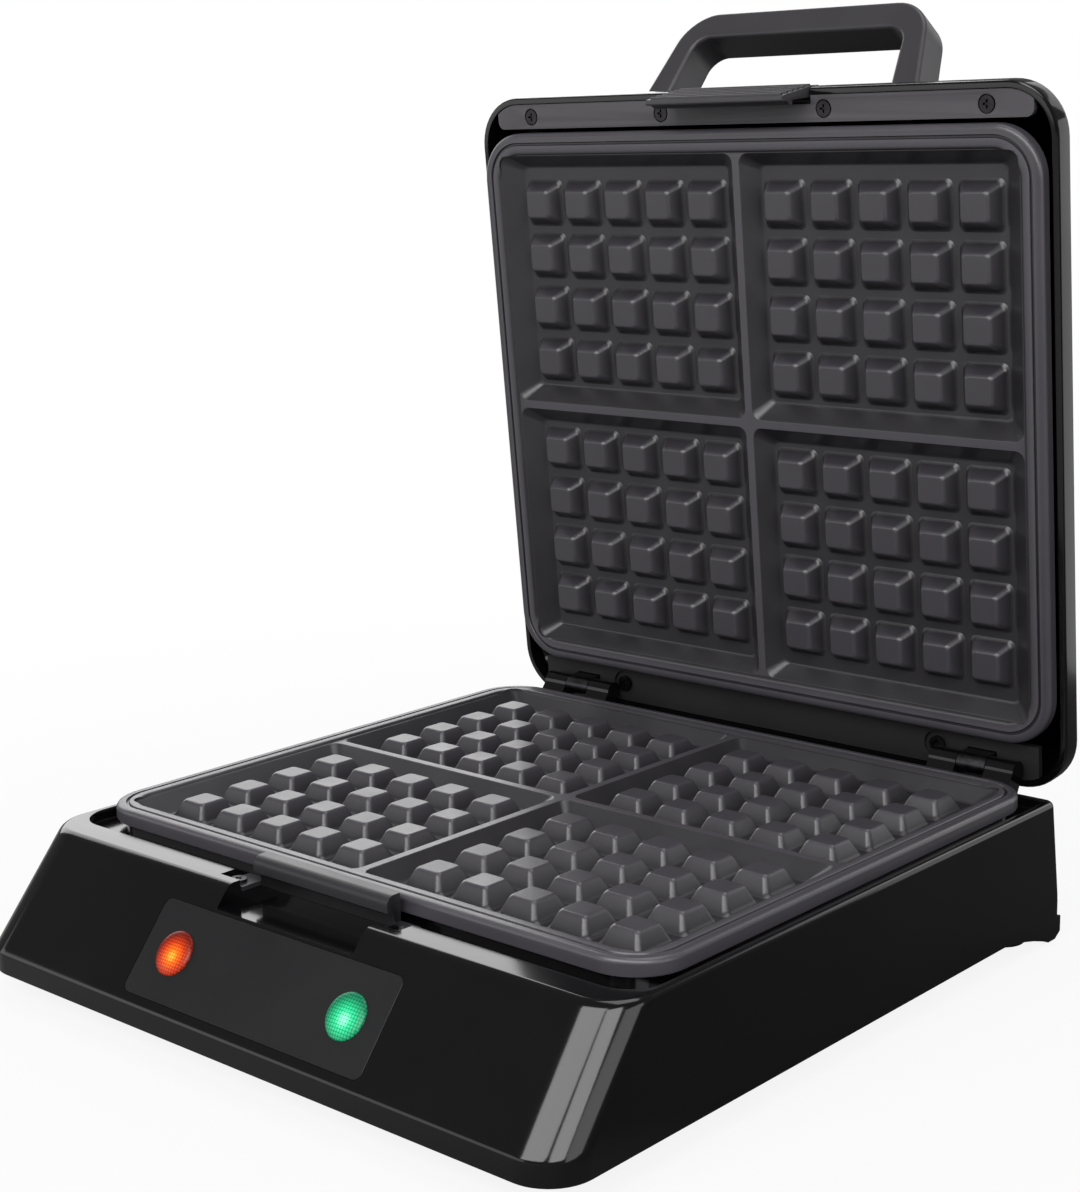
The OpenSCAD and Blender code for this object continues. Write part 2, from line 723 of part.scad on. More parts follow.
module control_panel() {
  color([0.16, 0.16, 0.17]) on_front() translate([0, panel_up + panel_h / 2, -panel_t])
    linear_extrude(panel_t) difference() {
      round_rect(panel_w, panel_h, panel_r);
      for (sx = [-1, 1]) translate([sx * lamp_x, 0]) circle(lens_d / 2 + fit_gap);
    }
}

// Domed lens: a shallow cap on a rim that drops through the panel, and a stem behind it.
module lens() {
  r = lens_d / 2;
  cap_r = (r * r + lens_rise * lens_rise) / (2 * lens_rise);
  translate([0, 0, lens_rise]) rotate_extrude() difference() {
    union() {
      intersection() {
        translate([0, -cap_r]) circle(cap_r, $fn = 96);
        translate([0, -lens_rise]) square([r, lens_rise]);
      }
      translate([0, -lens_rise - panel_t]) square([r, panel_t + eps]);
      translate([0, -lens_rise - panel_t - 2 * wall]) square([stem_d / 2, 2 * wall + eps]);
    }
    translate([-2 * r, -lens_rise * 20]) square([2 * r, lens_rise * 40]);
  }
}

module power_lens() {
  color([1, 0.3, 0.05]) on_front() translate([-lamp_x, panel_up + panel_h / 2, 0]) lens();
}

module ready_lens() {
  color([0.05, 0.75, 0.45]) on_front() translate([lamp_x, panel_up + panel_h / 2, 0]) lens();
}

module lamp_holders() {
  r = stem_d / 2 + fit_gap;
  l = 16;
  color([0.85, 0.84, 0.8]) on_front() for (sx = [-1, 1])
    translate([sx * lamp_x, panel_up + panel_h / 2, -panel_t - 2 * wall - l]) difference() {
      cylinder(r = r + 1.5, h = l + 2 * wall - (wall - panel_t) - panel_t - fit_gap);
      translate([0, 0, 2]) cylinder(r = r, h = l + 2 * wall);
    }
}

module lamp_bulbs() {
  l = 10;
  color([0.9, 0.75, 0.6]) on_front() for (sx = [-1, 1])
    translate([sx * lamp_x, panel_up + panel_h / 2, -panel_t - 2 * wall - 14]) {
      cylinder(r = 2.6, h = l - 2.6);
      translate([0, 0, l - 2.6]) sphere(r = 2.6);
    }
}

// Rounded bar on a thin web, with a screw ear at each end.
module latch_catch() {
  back = bar_front - bar_d;
  flange_t = 1.6;
  nose_r = bar_h / 2;
  color([0.14, 0.14, 0.15]) {
    difference() {
      union() {
        translate([-bar_half - ear_l, -bar_front - 5, deck_z])
          cube([ear_l, bar_d + 5, flange_t]);
        translate([bar_half, -bar_front - 5, deck_z]) cube([ear_l, bar_d + 5, flange_t]);
      }
      for (sx = [-1, 1]) translate([sx * catch_screw_x, -bar_front - 2, deck_z - cut])
        cylinder(r = small_shank_r + run_gap, h = flange_t + 2 * cut);
    }
    translate([-bar_half - ear_l, -back - web_d, deck_z])
      cube([2 * (bar_half + ear_l), web_d, flange_t]);
    translate([-bar_half, -back - web_d, deck_z]) cube([2 * bar_half, web_d, bar_z - deck_z + eps]);
    translate([-bar_half, 0, 0]) rotate([90, 0, 90]) linear_extrude(2 * bar_half)
      polygon(concat([[-back, bar_z], [-back, bar_top_z]],
        arc(-bar_front + nose_r, bar_top_z - nose_r, nose_r, 90, 180, 8),
        [[-bar_front, bar_z + 0.5], [-bar_front + 0.5, bar_z]]));
  }
}

module catch_screws() {
  color([0.5, 0.5, 0.52]) for (sx = [-1, 1])
    translate([sx * catch_screw_x, -bar_front - 2, deck_z + 1.6])
      screw(small_head_r, small_shank_r, catch_screw_l, low_head_h);
}

module lower_plate() {
  color([0.2, 0.2, 0.21]) translate([0, 0, mating_z]) baking_plate();
}

module lower_element() {
  color([0.45, 0.42, 0.4]) translate([0, 0, mating_z]) element();
}

module lower_shield() {
  color([0.75, 0.76, 0.78]) translate([0, 0, mating_z]) shield();
}

module lower_plate_screws() {
  color([0.5, 0.5, 0.52]) translate([0, 0, mating_z]) plate_screws();
}

module thermostat() {
  h = boss_h - pan_gap;
  r = plate_screw_y * 0.42;
  color([0.8, 0.78, 0.7]) translate([0, 0, mating_z - pan_h - h]) {
    cylinder(r = r, h = h);
    for (sx = [-1, 1]) translate([sx * (r + 0.5) - 2, -3, 0]) cube([4, 6, 1.5]);
  }
}

module thermal_fuse() {
  r = 2.2;
  body = 12;
  lead = 6;
  y = -plate_screw_y - 8;
  z = mating_z - pan_h - r - run_gap;
  color([0.9, 0.9, 0.88]) {
    rod_x(r, -body, body, y, z);
    for (sx = [-1, 1]) rod_x(r / 3, sx > 0 ? body : -body - lead, sx > 0 ? body + lead : -body, y, z);
  }
}

module terminal_block() {
  ways = 3;
  way_w = 10.7;
  w = ways * way_w;
  d = 18;
  h = 14;
  color([0.9, 0.88, 0.82]) translate([cord_x - w / 2, back_foot - 43, foot_h + 1 + cover_t]) difference() {
    cube([w, d, h]);
    for (i = [0:ways - 1]) translate([way_w * (i + 0.5), d / 2, h / 2]) cylinder(r = way_w / 4, h = h);
  }
}

module cord_bush() {
  r = cord_hole_d / 2;
  l = 16;
  seat_y = back_foot + 1;
  color([0.1, 0.1, 0.1]) translate([cord_x, seat_y, cord_z]) rotate([-90, 0, 0]) difference() {
    union() {
      cylinder(r = r + wall + 2, h = 3);
      translate([0, 0, 4 - l]) cylinder(r = r + wall, h = l - 4 + eps);
    }
    translate([0, 0, -l]) cylinder(r = r, h = 2 * l);
  }
}

module hinge_pins() {
  over = 0.4;
  x0 = hinge_x - knuckle_l / 2 - side_gap - ear_w + over;
  x1 = hinge_x + knuckle_l / 2 + side_gap + ear_w - over;
  color([0.7, 0.7, 0.72]) both_sides() rod_x(pin_d / 2, x0, x1, hinge_y, hinge_z);
}

// ---- lid, drawn closed ----

module lid_body(inset, z0) {
  r = lid_top_r - inset;
  cap_x = lid_half_w - lid_cap_inset;
  cap_y0 = -lid_front + lid_cap_inset;
  band_top = band_z - inset * tan(lean / 2);
  hull($fn = hull_fn) {
    translate([0, 0, z0])
      plan_slab(lid_half_w - inset, lid_front - inset, lid_back - inset, lid_r - inset, lid_r - inset,
        band_top - z0);
    for (sx = [-1, 1], y = [cap_y0, lid_cap_y])
      translate([sx * cap_x, y, lid_top_z - lid_top_r]) sphere(r = r);
  }
}

module lid_posts() {
  shield_top = mating_z + shield_drop + sheet_t;
  inward = 0.88;
  for (sx = [-1, 1], sy = [-1, 1]) translate([sx * post_x * inward, sy * post_y * inward, shield_top])
    cylinder(r = 6, h = lid_top_z - shield_top);
}

module lid_bosses() {
  for (sx = [-1, 1]) {
    for (x = trim_screw_x) translate([sx * x, trim_screw_y, trim_top_z])
      cylinder(r = 2.6, h = lid_h);
    translate([sx * rear_screw_x, rear_screw_y, trim_top_z + arm_flange_t]) cylinder(r = 4.5, h = lid_h);
  }
}

module lid_shell() {
  clip_gap = 0.8;
  skin = 1;
  lug_room = lug_x + lug_t + side_gap;
  color([0.03, 0.03, 0.035]) difference() {
    union() {
      difference() {
        lid_body(0, lid_edge_z);
        lid_body(lid_wall, lid_edge_z - cut);
      }
      intersection() {
        lid_body(eps, lid_edge_z);
        union() {
          lid_posts();
          lid_bosses();
        }
      }
    }
    translate([-clip_half - clip_gap, -lid_front - cut, lid_edge_z - cut])
      cube([2 * (clip_half + clip_gap), lid_wall * 4.5, pivot_z + 9 - lid_edge_z + cut]);
    intersection() {
      lid_body(skin, lid_edge_z);
      translate([-lug_room, -lid_front, lid_edge_z])
        cube([2 * lug_room, lid_wall * 4.5, pivot_z + 3 - lid_edge_z]);
    }
    for (sx = [-1, 1]) {
      for (x = trim_screw_x) translate([sx * x, trim_screw_y, trim_top_z - cut])
        cylinder(r = small_shank_r + run_gap, h = trim_screw_l + cut);
      translate([sx * rear_screw_x, rear_screw_y, trim_top_z + arm_flange_t - cut])
        cylinder(r = small_shank_r + run_gap, h = hinge_screw_l - arm_flange_t + cut);
    }
    on_lid_front() for (sx = [-1, 1]) translate([sx * handle_foot_x, handle_up + handle_d / 2, -3 * lid_wall])
      cylinder(r = small_shank_r + run_gap, h = 4 * lid_wall);
  }
}

// Outline that drops inside the lid's wall with a small gap.
module lid_inner_outline() {
  inset = lid_wall + side_gap;
  plan_outline(lid_half_w - inset, lid_front - inset, lid_back - inset, lid_r - inset);
}

// Front strip between the plate and the lid's edge. Two lugs behind it hold the clip's pin.
module lid_trim() {
  len_half = lid_half_w - 9.5;
  d = trim_front - trim_back;
  clip_room = 1.4;
  color([0.17, 0.17, 0.18]) difference() {
    union() {
      translate([0, 0, trim_z]) linear_extrude(trim_t) intersection() {
        lid_inner_outline();
        translate([0, -(trim_front + trim_back) / 2]) round_rect(2 * len_half, d, 3);
      }
      for (sx = [0, 1]) mirror([sx, 0, 0]) {
        translate([lug_x, -trim_front, trim_top_z - eps])
          cube([lug_t, 2 * (trim_front - pivot_front), pivot_z - trim_top_z]);
        rod_x(trim_front - pivot_front, lug_x, lug_x + lug_t, -pivot_front, pivot_z);
      }
    }
    translate([-lug_x, -trim_front - cut, trim_z - cut])
      cube([2 * lug_x, trim_front - tab_inner + clip_room + cut + 1, trim_t + 2 * cut]);
    rod_x(clip_pin_d / 2 + run_gap, -lug_x - lug_t - cut, lug_x + lug_t + cut, -pivot_front, pivot_z);
    for (sx = [-1, 1], x = trim_screw_x) translate([sx * x, trim_screw_y, trim_z - cut]) {
      cylinder(r = small_shank_r + run_gap, h = trim_t + 2 * cut);
      cylinder(r = small_head_r * 1.2, h = cut + head_recess);
    }
  }
}

// Back strip of the lid, slotted for the two hinge arms.
module rear_trim() {
  len_half = lid_half_w - 12;
  y0 = trim_back;
  y1 = rear_trim_back;
  color([0.05, 0.05, 0.055]) difference() {
    translate([0, 0, trim_z]) linear_extrude(trim_t) intersection() {
      lid_inner_outline();
      translate([-len_half, y0]) square([2 * len_half, y1 - y0]);
    }
    for (sx = [-1, 1]) {
      translate([sx * hinge_x - knuckle_l / 2 - side_gap, hinge_y - knuckle_r - side_gap, trim_z - cut])
        cube([knuckle_l + 2 * side_gap, 2 * (knuckle_r + side_gap), trim_t + 2 * cut]);
      translate([sx * rear_screw_x, rear_screw_y, trim_z - cut]) {
        cylinder(r = small_shank_r + run_gap, h = trim_t + 2 * cut);
        cylinder(r = small_head_r * 1.9, h = cut + head_recess);
      }
    }
  }
}

module trim_screws() {
  color([0.35, 0.35, 0.37]) for (sx = [-1, 1], x = trim_screw_x)
    translate([sx * x, trim_screw_y, trim_z + head_recess]) mirror([0, 0, 1])
      screw(small_head_r, small_shank_r, trim_screw_l, low_head_h);
}

// Arm on each side: a knuckle on the pin, a stem up through the strip and a flange above it.
module hinge_arms() {
  x0 = hinge_x - knuckle_l / 2;
  color([0.3, 0.3, 0.32]) both_sides() difference() {
    union() {
      rod_x(knuckle_r, x0, x0 + knuckle_l, hinge_y, hinge_z);
      translate([x0, hinge_y - knuckle_r, hinge_z])
        cube([knuckle_l, 2 * knuckle_r, trim_top_z - hinge_z + eps]);
      translate([rear_screw_x - 6, trim_back + 0.5, trim_top_z])
        cube([x0 + knuckle_l + 3 - rear_screw_x + 6, rear_trim_back - trim_back - 1, arm_flange_t]);
    }
    rod_x(pin_d / 2 + run_gap, x0 - cut, x0 + knuckle_l + cut, hinge_y, hinge_z);
    translate([rear_screw_x, rear_screw_y, trim_top_z - cut])
      cylinder(r = small_shank_r + run_gap, h = arm_flange_t + 2 * cut);
  }
}

module hinge_screws() {
  color([0.35, 0.35, 0.37]) for (sx = [-1, 1])
    translate([sx * rear_screw_x, rear_screw_y, trim_z + head_recess]) mirror([0, 0, 1])
      screw(small_head_r * 1.14, small_shank_r, hinge_screw_l, low_head_h);
}

// ---- handle ----

// Half of a loop outline with straight leaning sides and a round corner, listed from the
// foot to the middle.
function loop_half(half, reach, side_lean, r) =
  let (cy = reach - r, cx = half - cy * tan(side_lean) - r / cos(side_lean))
  concat([[half, 0]], arc(cx, cy, r, side_lean, 90, 12));

function mirrored(pts) = [for (i = [len(pts) - 1:-1:0]) [-pts[i][0], pts[i][1]]];

module handle() {
  outer = loop_half(handle_half, handle_reach, arm_lean, handle_r);
  inner = loop_half(handle_half - grip_t - 1.5, handle_reach - grip_t, arm_lean * 0.55, handle_r / 2);
  color([0.2, 0.2, 0.21]) on_lid_front() translate([0, handle_up + handle_d, 0]) rotate([90, 0, 0])
    difference() {
      linear_extrude(handle_d) difference() {
        polygon(concat(outer, mirrored(outer)));
        translate([0, -eps]) polygon(concat(inner, mirrored(inner)));
      }
      for (sx = [-1, 1]) translate([sx * handle_foot_x, -cut, handle_d / 2]) rotate([-90, 0, 0])
        cylinder(r = small_shank_r + run_gap, h = handle_screw_l + 2 * cut);
    }
}

module handle_screws() {
  color([0.5, 0.5, 0.52]) on_lid_front() for (sx = [-1, 1])
    translate([sx * handle_foot_x, handle_up + handle_d / 2, -lid_wall]) mirror([0, 0, 1])
      screw(small_head_r, small_shank_r, handle_screw_l + lid_wall);
}

// ---- upper plate group: the lower one turned over ----

module turned_over() {
  translate([0, 0, mating_z]) mirror([0, 0, 1]) children();
}

module upper_plate() {
  color([0.2, 0.2, 0.21]) turned_over() baking_plate();
}

module upper_element() {
  color([0.45, 0.42, 0.4]) turned_over() element();
}

module upper_shield() {
  color([0.75, 0.76, 0.78]) turned_over() shield();
}

module upper_plate_screws() {
  color([0.5, 0.5, 0.52]) turned_over() plate_screws();
}

// ---- latch ----

module latch_pin() {
  reach = clip_half + 3 * side_gap + 2.2;
  color([0.7, 0.7, 0.72]) rod_x(clip_pin_d / 2, -reach, reach, -pivot_front, pivot_z);
}

// Ribbed tab on a barrel, with a hook near its tip that catches under the bar.
module latch_clip() {
  tab_outer = tab_inner + tab_t;
  top_z = pivot_z + 7.6;
  bend_z = pivot_z - 1;
  outer_top = lid_front - (top_z - band_z) * tan(lean);
  hook_top = bar_z - 0.6;
  profile = concat(
    [[-tab_inner, hook_top - 3.6], [-tab_inner, tip_z + 0.6], [-tab_inner - 0.6, tip_z]],
    [[-tab_outer + 0.6, tip_z], [-tab_outer, tip_z + 0.6], [-lid_front - 0.2, bend_z - 4]],
    [[-lid_front - 0.2, bend_z], [-outer_top, top_z], [-outer_top + tab_t, top_z - 1]],
    [[-pivot_front, pivot_z + barrel_r - 0.4], [-pivot_front, pivot_z - barrel_r + 0.4]],
    [[-tab_inner, pivot_z - barrel_r - 3], [-tab_inner, hook_top + 0.4], [-tab_inner + 0.4, hook_top]],
    [[-hook_tip, hook_top], [-hook_tip, hook_top - 1.3]]);
  color([0.15, 0.15, 0.16]) difference() {
    union() {
      translate([-clip_half, 0, 0]) rotate([90, 0, 90]) linear_extrude(2 * clip_half) polygon(profile);
      rod_x(barrel_r, -clip_half, clip_half, -pivot_front, pivot_z);
      for (i = [0:rib_count - 1])
        rod_x(0.7, -clip_half + 1.5, clip_half - 1.5,
          -tab_outer - (lid_front + 0.2 - tab_outer) * (i + 0.6) * rib_pitch / (bend_z - 4 - tip_z),
          tip_z + (i + 0.6) * rib_pitch);
    }
    rod_x(clip_pin_d / 2 + run_gap, -clip_half - cut, clip_half + cut, -pivot_front, pivot_z);
  }
}

// ---- the machine ----

placed() base_housing();
placed() bottom_cover();
placed() front_feet();
placed() rear_feet();
placed() cover_screws();
placed() control_panel();
placed() power_lens();
placed() ready_lens();
placed() lamp_holders();
placed() lamp_bulbs();
placed() latch_catch();
placed() catch_screws();
placed() lower_plate();
placed() lower_element();
placed() lower_shield();
placed() lower_plate_screws();
placed() thermostat();
placed() thermal_fuse();
placed() terminal_block();
placed() cord_bush();
placed() hinge_pins();
on_lid() lid_shell();
on_lid() lid_trim();
on_lid() rear_trim();
on_lid() trim_screws();
on_lid() hinge_arms();
on_lid() hinge_screws();
on_lid() handle();
on_lid() handle_screws();
on_lid() upper_plate();
on_lid() upper_element();
on_lid() upper_shield();
on_lid() upper_plate_screws();
on_lid() latch_pin();
on_lid() latch_clip();
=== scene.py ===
# Waffle maker with its lid open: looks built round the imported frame.
import json
import math

import bmesh
import bpy
from mathutils import Matrix, Vector


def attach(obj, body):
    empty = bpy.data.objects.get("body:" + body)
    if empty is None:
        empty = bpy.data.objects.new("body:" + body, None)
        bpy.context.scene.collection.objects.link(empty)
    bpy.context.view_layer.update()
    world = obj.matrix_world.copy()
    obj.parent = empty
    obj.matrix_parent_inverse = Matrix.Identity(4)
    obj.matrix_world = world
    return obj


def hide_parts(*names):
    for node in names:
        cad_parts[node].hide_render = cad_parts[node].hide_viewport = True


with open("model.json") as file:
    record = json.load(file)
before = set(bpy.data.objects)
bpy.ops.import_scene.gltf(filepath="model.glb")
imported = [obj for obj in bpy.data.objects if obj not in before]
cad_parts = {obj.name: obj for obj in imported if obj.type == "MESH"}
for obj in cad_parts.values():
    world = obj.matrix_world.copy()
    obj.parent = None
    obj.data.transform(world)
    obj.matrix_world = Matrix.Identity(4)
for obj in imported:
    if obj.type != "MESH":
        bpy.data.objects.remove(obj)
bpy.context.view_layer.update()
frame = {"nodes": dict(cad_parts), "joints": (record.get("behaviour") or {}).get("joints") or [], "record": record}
mm = 0.001
sliver = 0.02  # in mm, keeps a cutter's face clear of the face beside it
hairline = 0.001  # in mm, keeps neighbouring loops apart and merges points that meet
corners = ((-1, -1), (-1, 1), (1, -1), (1, 1))


def nodeOf(tree, kind, **settings):
    node = tree.nodes.new(kind)
    for key, value in settings.items():
        setattr(node, key, value)
    return node


def socketsIn(group, table):
    for name, value in table.items():
        kind = "NodeSocketColor" if isinstance(value, tuple) else "NodeSocketFloat"
        socket = group.interface.new_socket(name=name, in_out="INPUT", socket_type=kind)
        socket.default_value = value


def socketsOut(group, table):
    for name, kind in table.items():
        group.interface.new_socket(name=name, in_out="OUTPUT", socket_type=kind)


def rampOf(tree, source, stops):
    node = nodeOf(tree, "ShaderNodeValToRGB")
    ramp = node.color_ramp
    for element, (place, colour) in zip(ramp.elements, (stops[0], stops[-1])):
        element.position = place
        element.color = colour
    for place, colour in stops[1:-1]:
        ramp.elements.new(place).color = colour
    tree.links.new(source, node.inputs["Fac"])
    return node.outputs["Color"]


def spanOf(tree, source, given, wanted=(0, 1)):
    # stretches the given span of a value onto the wanted one
    node = nodeOf(tree, "ShaderNodeMapRange", clamp=True)
    for key, value in zip(("From Min", "From Max", "To Min", "To Max"), given + wanted):
        node.inputs[key].default_value = value
    tree.links.new(source, node.inputs["Value"])
    return node.outputs["Result"]


def mathOf(tree, operation, first, second):
    node = nodeOf(tree, "ShaderNodeMath", operation=operation)
    tree.links.new(first, node.inputs[0])
    tree.links.new(second, node.inputs[1])
    return node.outputs[0]


def makeGrainGroup():
    # fine moulded or sprayed grain for a bump, and a slow mottle
    group = bpy.data.node_groups.new("grain", "ShaderNodeTree")
    socketsIn(group, {"Grain Scale": 900, "Mottle Scale": 30})
    socketsOut(group, {"Grain": "NodeSocketFloat", "Mottle": "NodeSocketFloat"})
    given = nodeOf(group, "NodeGroupInput")
    result = nodeOf(group, "NodeGroupOutput")
    coord = nodeOf(group, "ShaderNodeTexCoord")
    for name, detail, rough in (("Grain", 3, 0.6), ("Mottle", 4, 0.55)):
        noise = nodeOf(group, "ShaderNodeTexNoise")
        noise.inputs["Detail"].default_value = detail
        noise.inputs["Roughness"].default_value = rough
        group.links.new(coord.outputs["Object"], noise.inputs["Vector"])
        group.links.new(given.outputs[name + " Scale"], noise.inputs["Scale"])
        group.links.new(noise.outputs["Fac"], result.inputs[name])
    return group


def makeEdgeHighlightGroup():
    # paler edges: a painted highlight along the sharp, rounded edges
    group = bpy.data.node_groups.new("paintedEdgeHighlight", "ShaderNodeTree")
    socketsIn(group, {"Base": (0.03, 0.03, 0.03, 1), "Edge": (0.1, 0.1, 0.1, 1),
                      "Low": 0.51, "High": 0.6, "Amount": 0.6})
    socketsOut(group, {"Color": "NodeSocketColor", "Mask": "NodeSocketFloat"})
    given = nodeOf(group, "NodeGroupInput")
    result = nodeOf(group, "NodeGroupOutput")
    geometry = nodeOf(group, "ShaderNodeNewGeometry")
    span = nodeOf(group, "ShaderNodeMapRange", clamp=True)
    group.links.new(geometry.outputs["Pointiness"], span.inputs["Value"])
    group.links.new(given.outputs["Low"], span.inputs["From Min"])
    group.links.new(given.outputs["High"], span.inputs["From Max"])
    share = mathOf(group, "MULTIPLY", span.outputs["Result"], given.outputs["Amount"])
    mix = nodeOf(group, "ShaderNodeMix", data_type="RGBA")
    group.links.new(share, mix.inputs["Factor"])
    group.links.new(given.outputs["Base"], mix.inputs["A"])
    group.links.new(given.outputs["Edge"], mix.inputs["B"])
    group.links.new(mix.outputs["Result"], result.inputs["Color"])
    group.links.new(share, result.inputs["Mask"])
    return group


grainGroup = makeGrainGroup()
edgeHighlightGroup = makeEdgeHighlightGroup()

plainLook = {
    "grainScale": 900, "mottleScale": 30, "mottleSpan": (0.3, 0.7), "bumpDepth": 0.0001,
    "edgeLow": 0.505, "edgeHigh": 0.56, "edgeAmount": 0.0, "sockets": {},
}
# an edge colour with its amount is a painted highlight along the edges
looks = {
    "glossBlack": {
        "colour": (0.0036, 0.0032, 0.0037), "deep": (0.0026, 0.0023, 0.0027),
        "rough": (0.09, 0.15), "grainScale": 260, "mottleScale": 14,
        "bump": 0.03, "bumpDepth": 0.0002,
        "sockets": {"IOR": 1.5, "Specular IOR Level": 0.56},
    },
    "mattBlack": {
        "colour": (0.012, 0.0115, 0.0125), "rough": (0.5, 0.62),
        "grainScale": 1400, "bump": 0.25,
    },
    "charcoal": {
        "colour": (0.029, 0.027, 0.0295), "deep": (0.0235, 0.0215, 0.024),
        "edge": (0.09, 0.086, 0.094), "edgeAmount": 0.5,
        "rough": (0.34, 0.44), "grainScale": 1500, "mottleScale": 22, "bump": 0.25,
    },
    "paleCharcoal": {
        "colour": (0.05, 0.0465, 0.053), "deep": (0.042, 0.039, 0.045),
        "edge": (0.17, 0.16, 0.175), "edgeAmount": 0.5,
        "rough": (0.38, 0.5), "grainScale": 1300, "mottleScale": 26, "bump": 0.3,
    },
    "panelBlack": {
        "colour": (0.0075, 0.0075, 0.0085), "deep": (0.006, 0.006, 0.007),
        "rough": (0.34, 0.42), "grainScale": 1700, "mottleScale": 18, "bump": 0.12,
        "sockets": {"Specular IOR Level": 0.36},
    },
    "coatedPlate": {
        "colour": (0.022, 0.0203, 0.0245), "deep": (0.0175, 0.016, 0.0195),
        "edge": (0.1, 0.094, 0.11), "edgeAmount": 0.7, "edgeLow": 0.503, "edgeHigh": 0.55,
        "rough": (0.3, 0.4), "grainScale": 1800, "mottleScale": 34, "bump": 0.4,
        "sockets": {"Specular IOR Level": 0.75},
    },
    "darkCatch": {
        "colour": (0.011, 0.0104, 0.0116), "deep": (0.008, 0.0075, 0.0085),
        "edge": (0.06, 0.057, 0.063), "edgeAmount": 0.4,
        "rough": (0.3, 0.4), "grainScale": 1500, "mottleScale": 24, "bump": 0.2,
        "sockets": {"Specular IOR Level": 0.35},
    },
    "rubber": {
        "colour": (0.02, 0.02, 0.02), "rough": (0.7, 0.85), "grainScale": 700, "bump": 0.3,
    },
    "steel": {
        "colour": (0.42, 0.41, 0.42), "deep": (0.33, 0.32, 0.33),
        "rough": (0.28, 0.42), "mottleScale": 200, "sockets": {"Metallic": 1.0},
    },
    "darkScrew": {
        "colour": (0.07, 0.066, 0.07), "deep": (0.045, 0.043, 0.046),
        "rough": (0.28, 0.4), "mottleScale": 240, "sockets": {"Metallic": 1.0},
    },
    "sheetMetal": {
        "colour": (0.55, 0.56, 0.58), "deep": (0.48, 0.49, 0.5),
        "rough": (0.3, 0.4), "mottleScale": 60, "sockets": {"Metallic": 1.0},
    },
    "elementSheath": {
        "colour": (0.16, 0.145, 0.135), "deep": (0.11, 0.1, 0.1),
        "rough": (0.4, 0.55), "mottleScale": 70, "sockets": {"Metallic": 1.0},
    },
    "palePlastic": {"colour": (0.62, 0.6, 0.54), "rough": (0.45, 0.55), "bump": 0.1},
    "bulbGlass": {
        "colour": (0.9, 0.7, 0.5), "rough": (0.05, 0.1),
        "sockets": {"Transmission Weight": 0.8, "IOR": 1.45},
    },
}


def newMaterial(name, sockets):
    mat = bpy.data.materials.new(name)
    mat.use_nodes = True
    shader = mat.node_tree.nodes["Principled BSDF"]
    for key, value in sockets.items():
        shader.inputs[key].default_value = value
    return mat, mat.node_tree, shader


def finish(name, look):
    # a mottled colour with a painted highlight at the edges, over a fine grain
    look = plainLook | look
    mat, tree, shader = newMaterial(name, look["sockets"])
    low, high = look["mottleSpan"]
    grain = nodeOf(tree, "ShaderNodeGroup", node_tree=grainGroup)
    grain.inputs["Grain Scale"].default_value = look["grainScale"]
    grain.inputs["Mottle Scale"].default_value = look["mottleScale"]
    mottle = grain.outputs["Mottle"]
    # painted highlight: paler colour where the surface is pointy, along the edges
    paintedEdges = nodeOf(tree, "ShaderNodeGroup", node_tree=edgeHighlightGroup)
    paintedEdges.inputs["Edge"].default_value = look.get("edge", look["colour"]) + (1,)
    paintedEdges.inputs["Low"].default_value = look["edgeLow"]
    paintedEdges.inputs["High"].default_value = look["edgeHigh"]
    paintedEdges.inputs["Amount"].default_value = look["edgeAmount"]
    tone = rampOf(tree, mottle, [(low, look.get("deep", look["colour"]) + (1,)),
                                 (high, look["colour"] + (1,))])
    tree.links.new(tone, paintedEdges.inputs["Base"])
    tree.links.new(paintedEdges.outputs["Color"], shader.inputs["Base Color"])
    rough = spanOf(tree, mottle, look["mottleSpan"], look["rough"])
    tree.links.new(rough, shader.inputs["Roughness"])
    if "bump" in look:
        bump = nodeOf(tree, "ShaderNodeBump")
        bump.inputs["Strength"].default_value = look["bump"]
        bump.inputs["Distance"].default_value = look["bumpDepth"]
        tree.links.new(grain.outputs["Grain"], bump.inputs["Height"])
        tree.links.new(bump.outputs["Normal"], shader.inputs["Normal"])
    return mat


finishes = {name: finish(name, look) for name, look in looks.items()}
slotFinish = {
    "gloss_black": "glossBlack", "matt_black": "mattBlack", "rubber": "rubber",
    "steel": "steel", "charcoal": "charcoal", "pale_plastic": "palePlastic",
    "bulb_glass": "bulbGlass", "coated_plate": "coatedPlate",
    "element_sheath": "elementSheath", "sheet_metal": "sheetMetal",
}
darkNodes = {
    "trim_screws", "hinge_screws", "catch_screws", "hinge_pins", "hinge_arms", "latch_pin",
}


def dressNodes():
    slots = {row["node"]: row["material_slot"] for row in frame["record"]["subparts"]}
    for node, obj in frame["nodes"].items():
        look = "darkScrew" if node in darkNodes else slotFinish.get(slots[node])
        if look:
            obj.data.materials.clear()
            obj.data.materials.append(finishes[look])


dressNodes()
print("finishes ready:", len(finishes))


def dressPiece(name, mesh, material, body, node, crisp, soft=None):
    # a finished piece that rides on its body in place of a node; edges past crisp stay sharp
    piece = bpy.data.objects.new(name, mesh)
    bpy.context.scene.collection.objects.link(piece)
    mesh.materials.clear()
    mesh.materials.append(material)
    mesh.shade_smooth()
    mesh.set_sharp_from_angle(angle=math.radians(crisp))
    if soft:
        bevel = piece.modifiers.new("softEdges", "BEVEL")
        bevel.width = soft * mm
        bevel.segments = softSizes["segments"]
        bevel.limit_method = "ANGLE"
        bevel.angle_limit = math.radians(softSizes["limit"])
        bevel.use_clamp_overlap = True
    even = piece.modifiers.new("evenNormals", "WEIGHTED_NORMAL")
    even.keep_sharp = True
    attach(piece, body)
    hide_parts(node)


def plainMesh(bm, name):
    mesh = bpy.data.meshes.new(name)
    bm.to_mesh(mesh)
    bm.free()
    return mesh


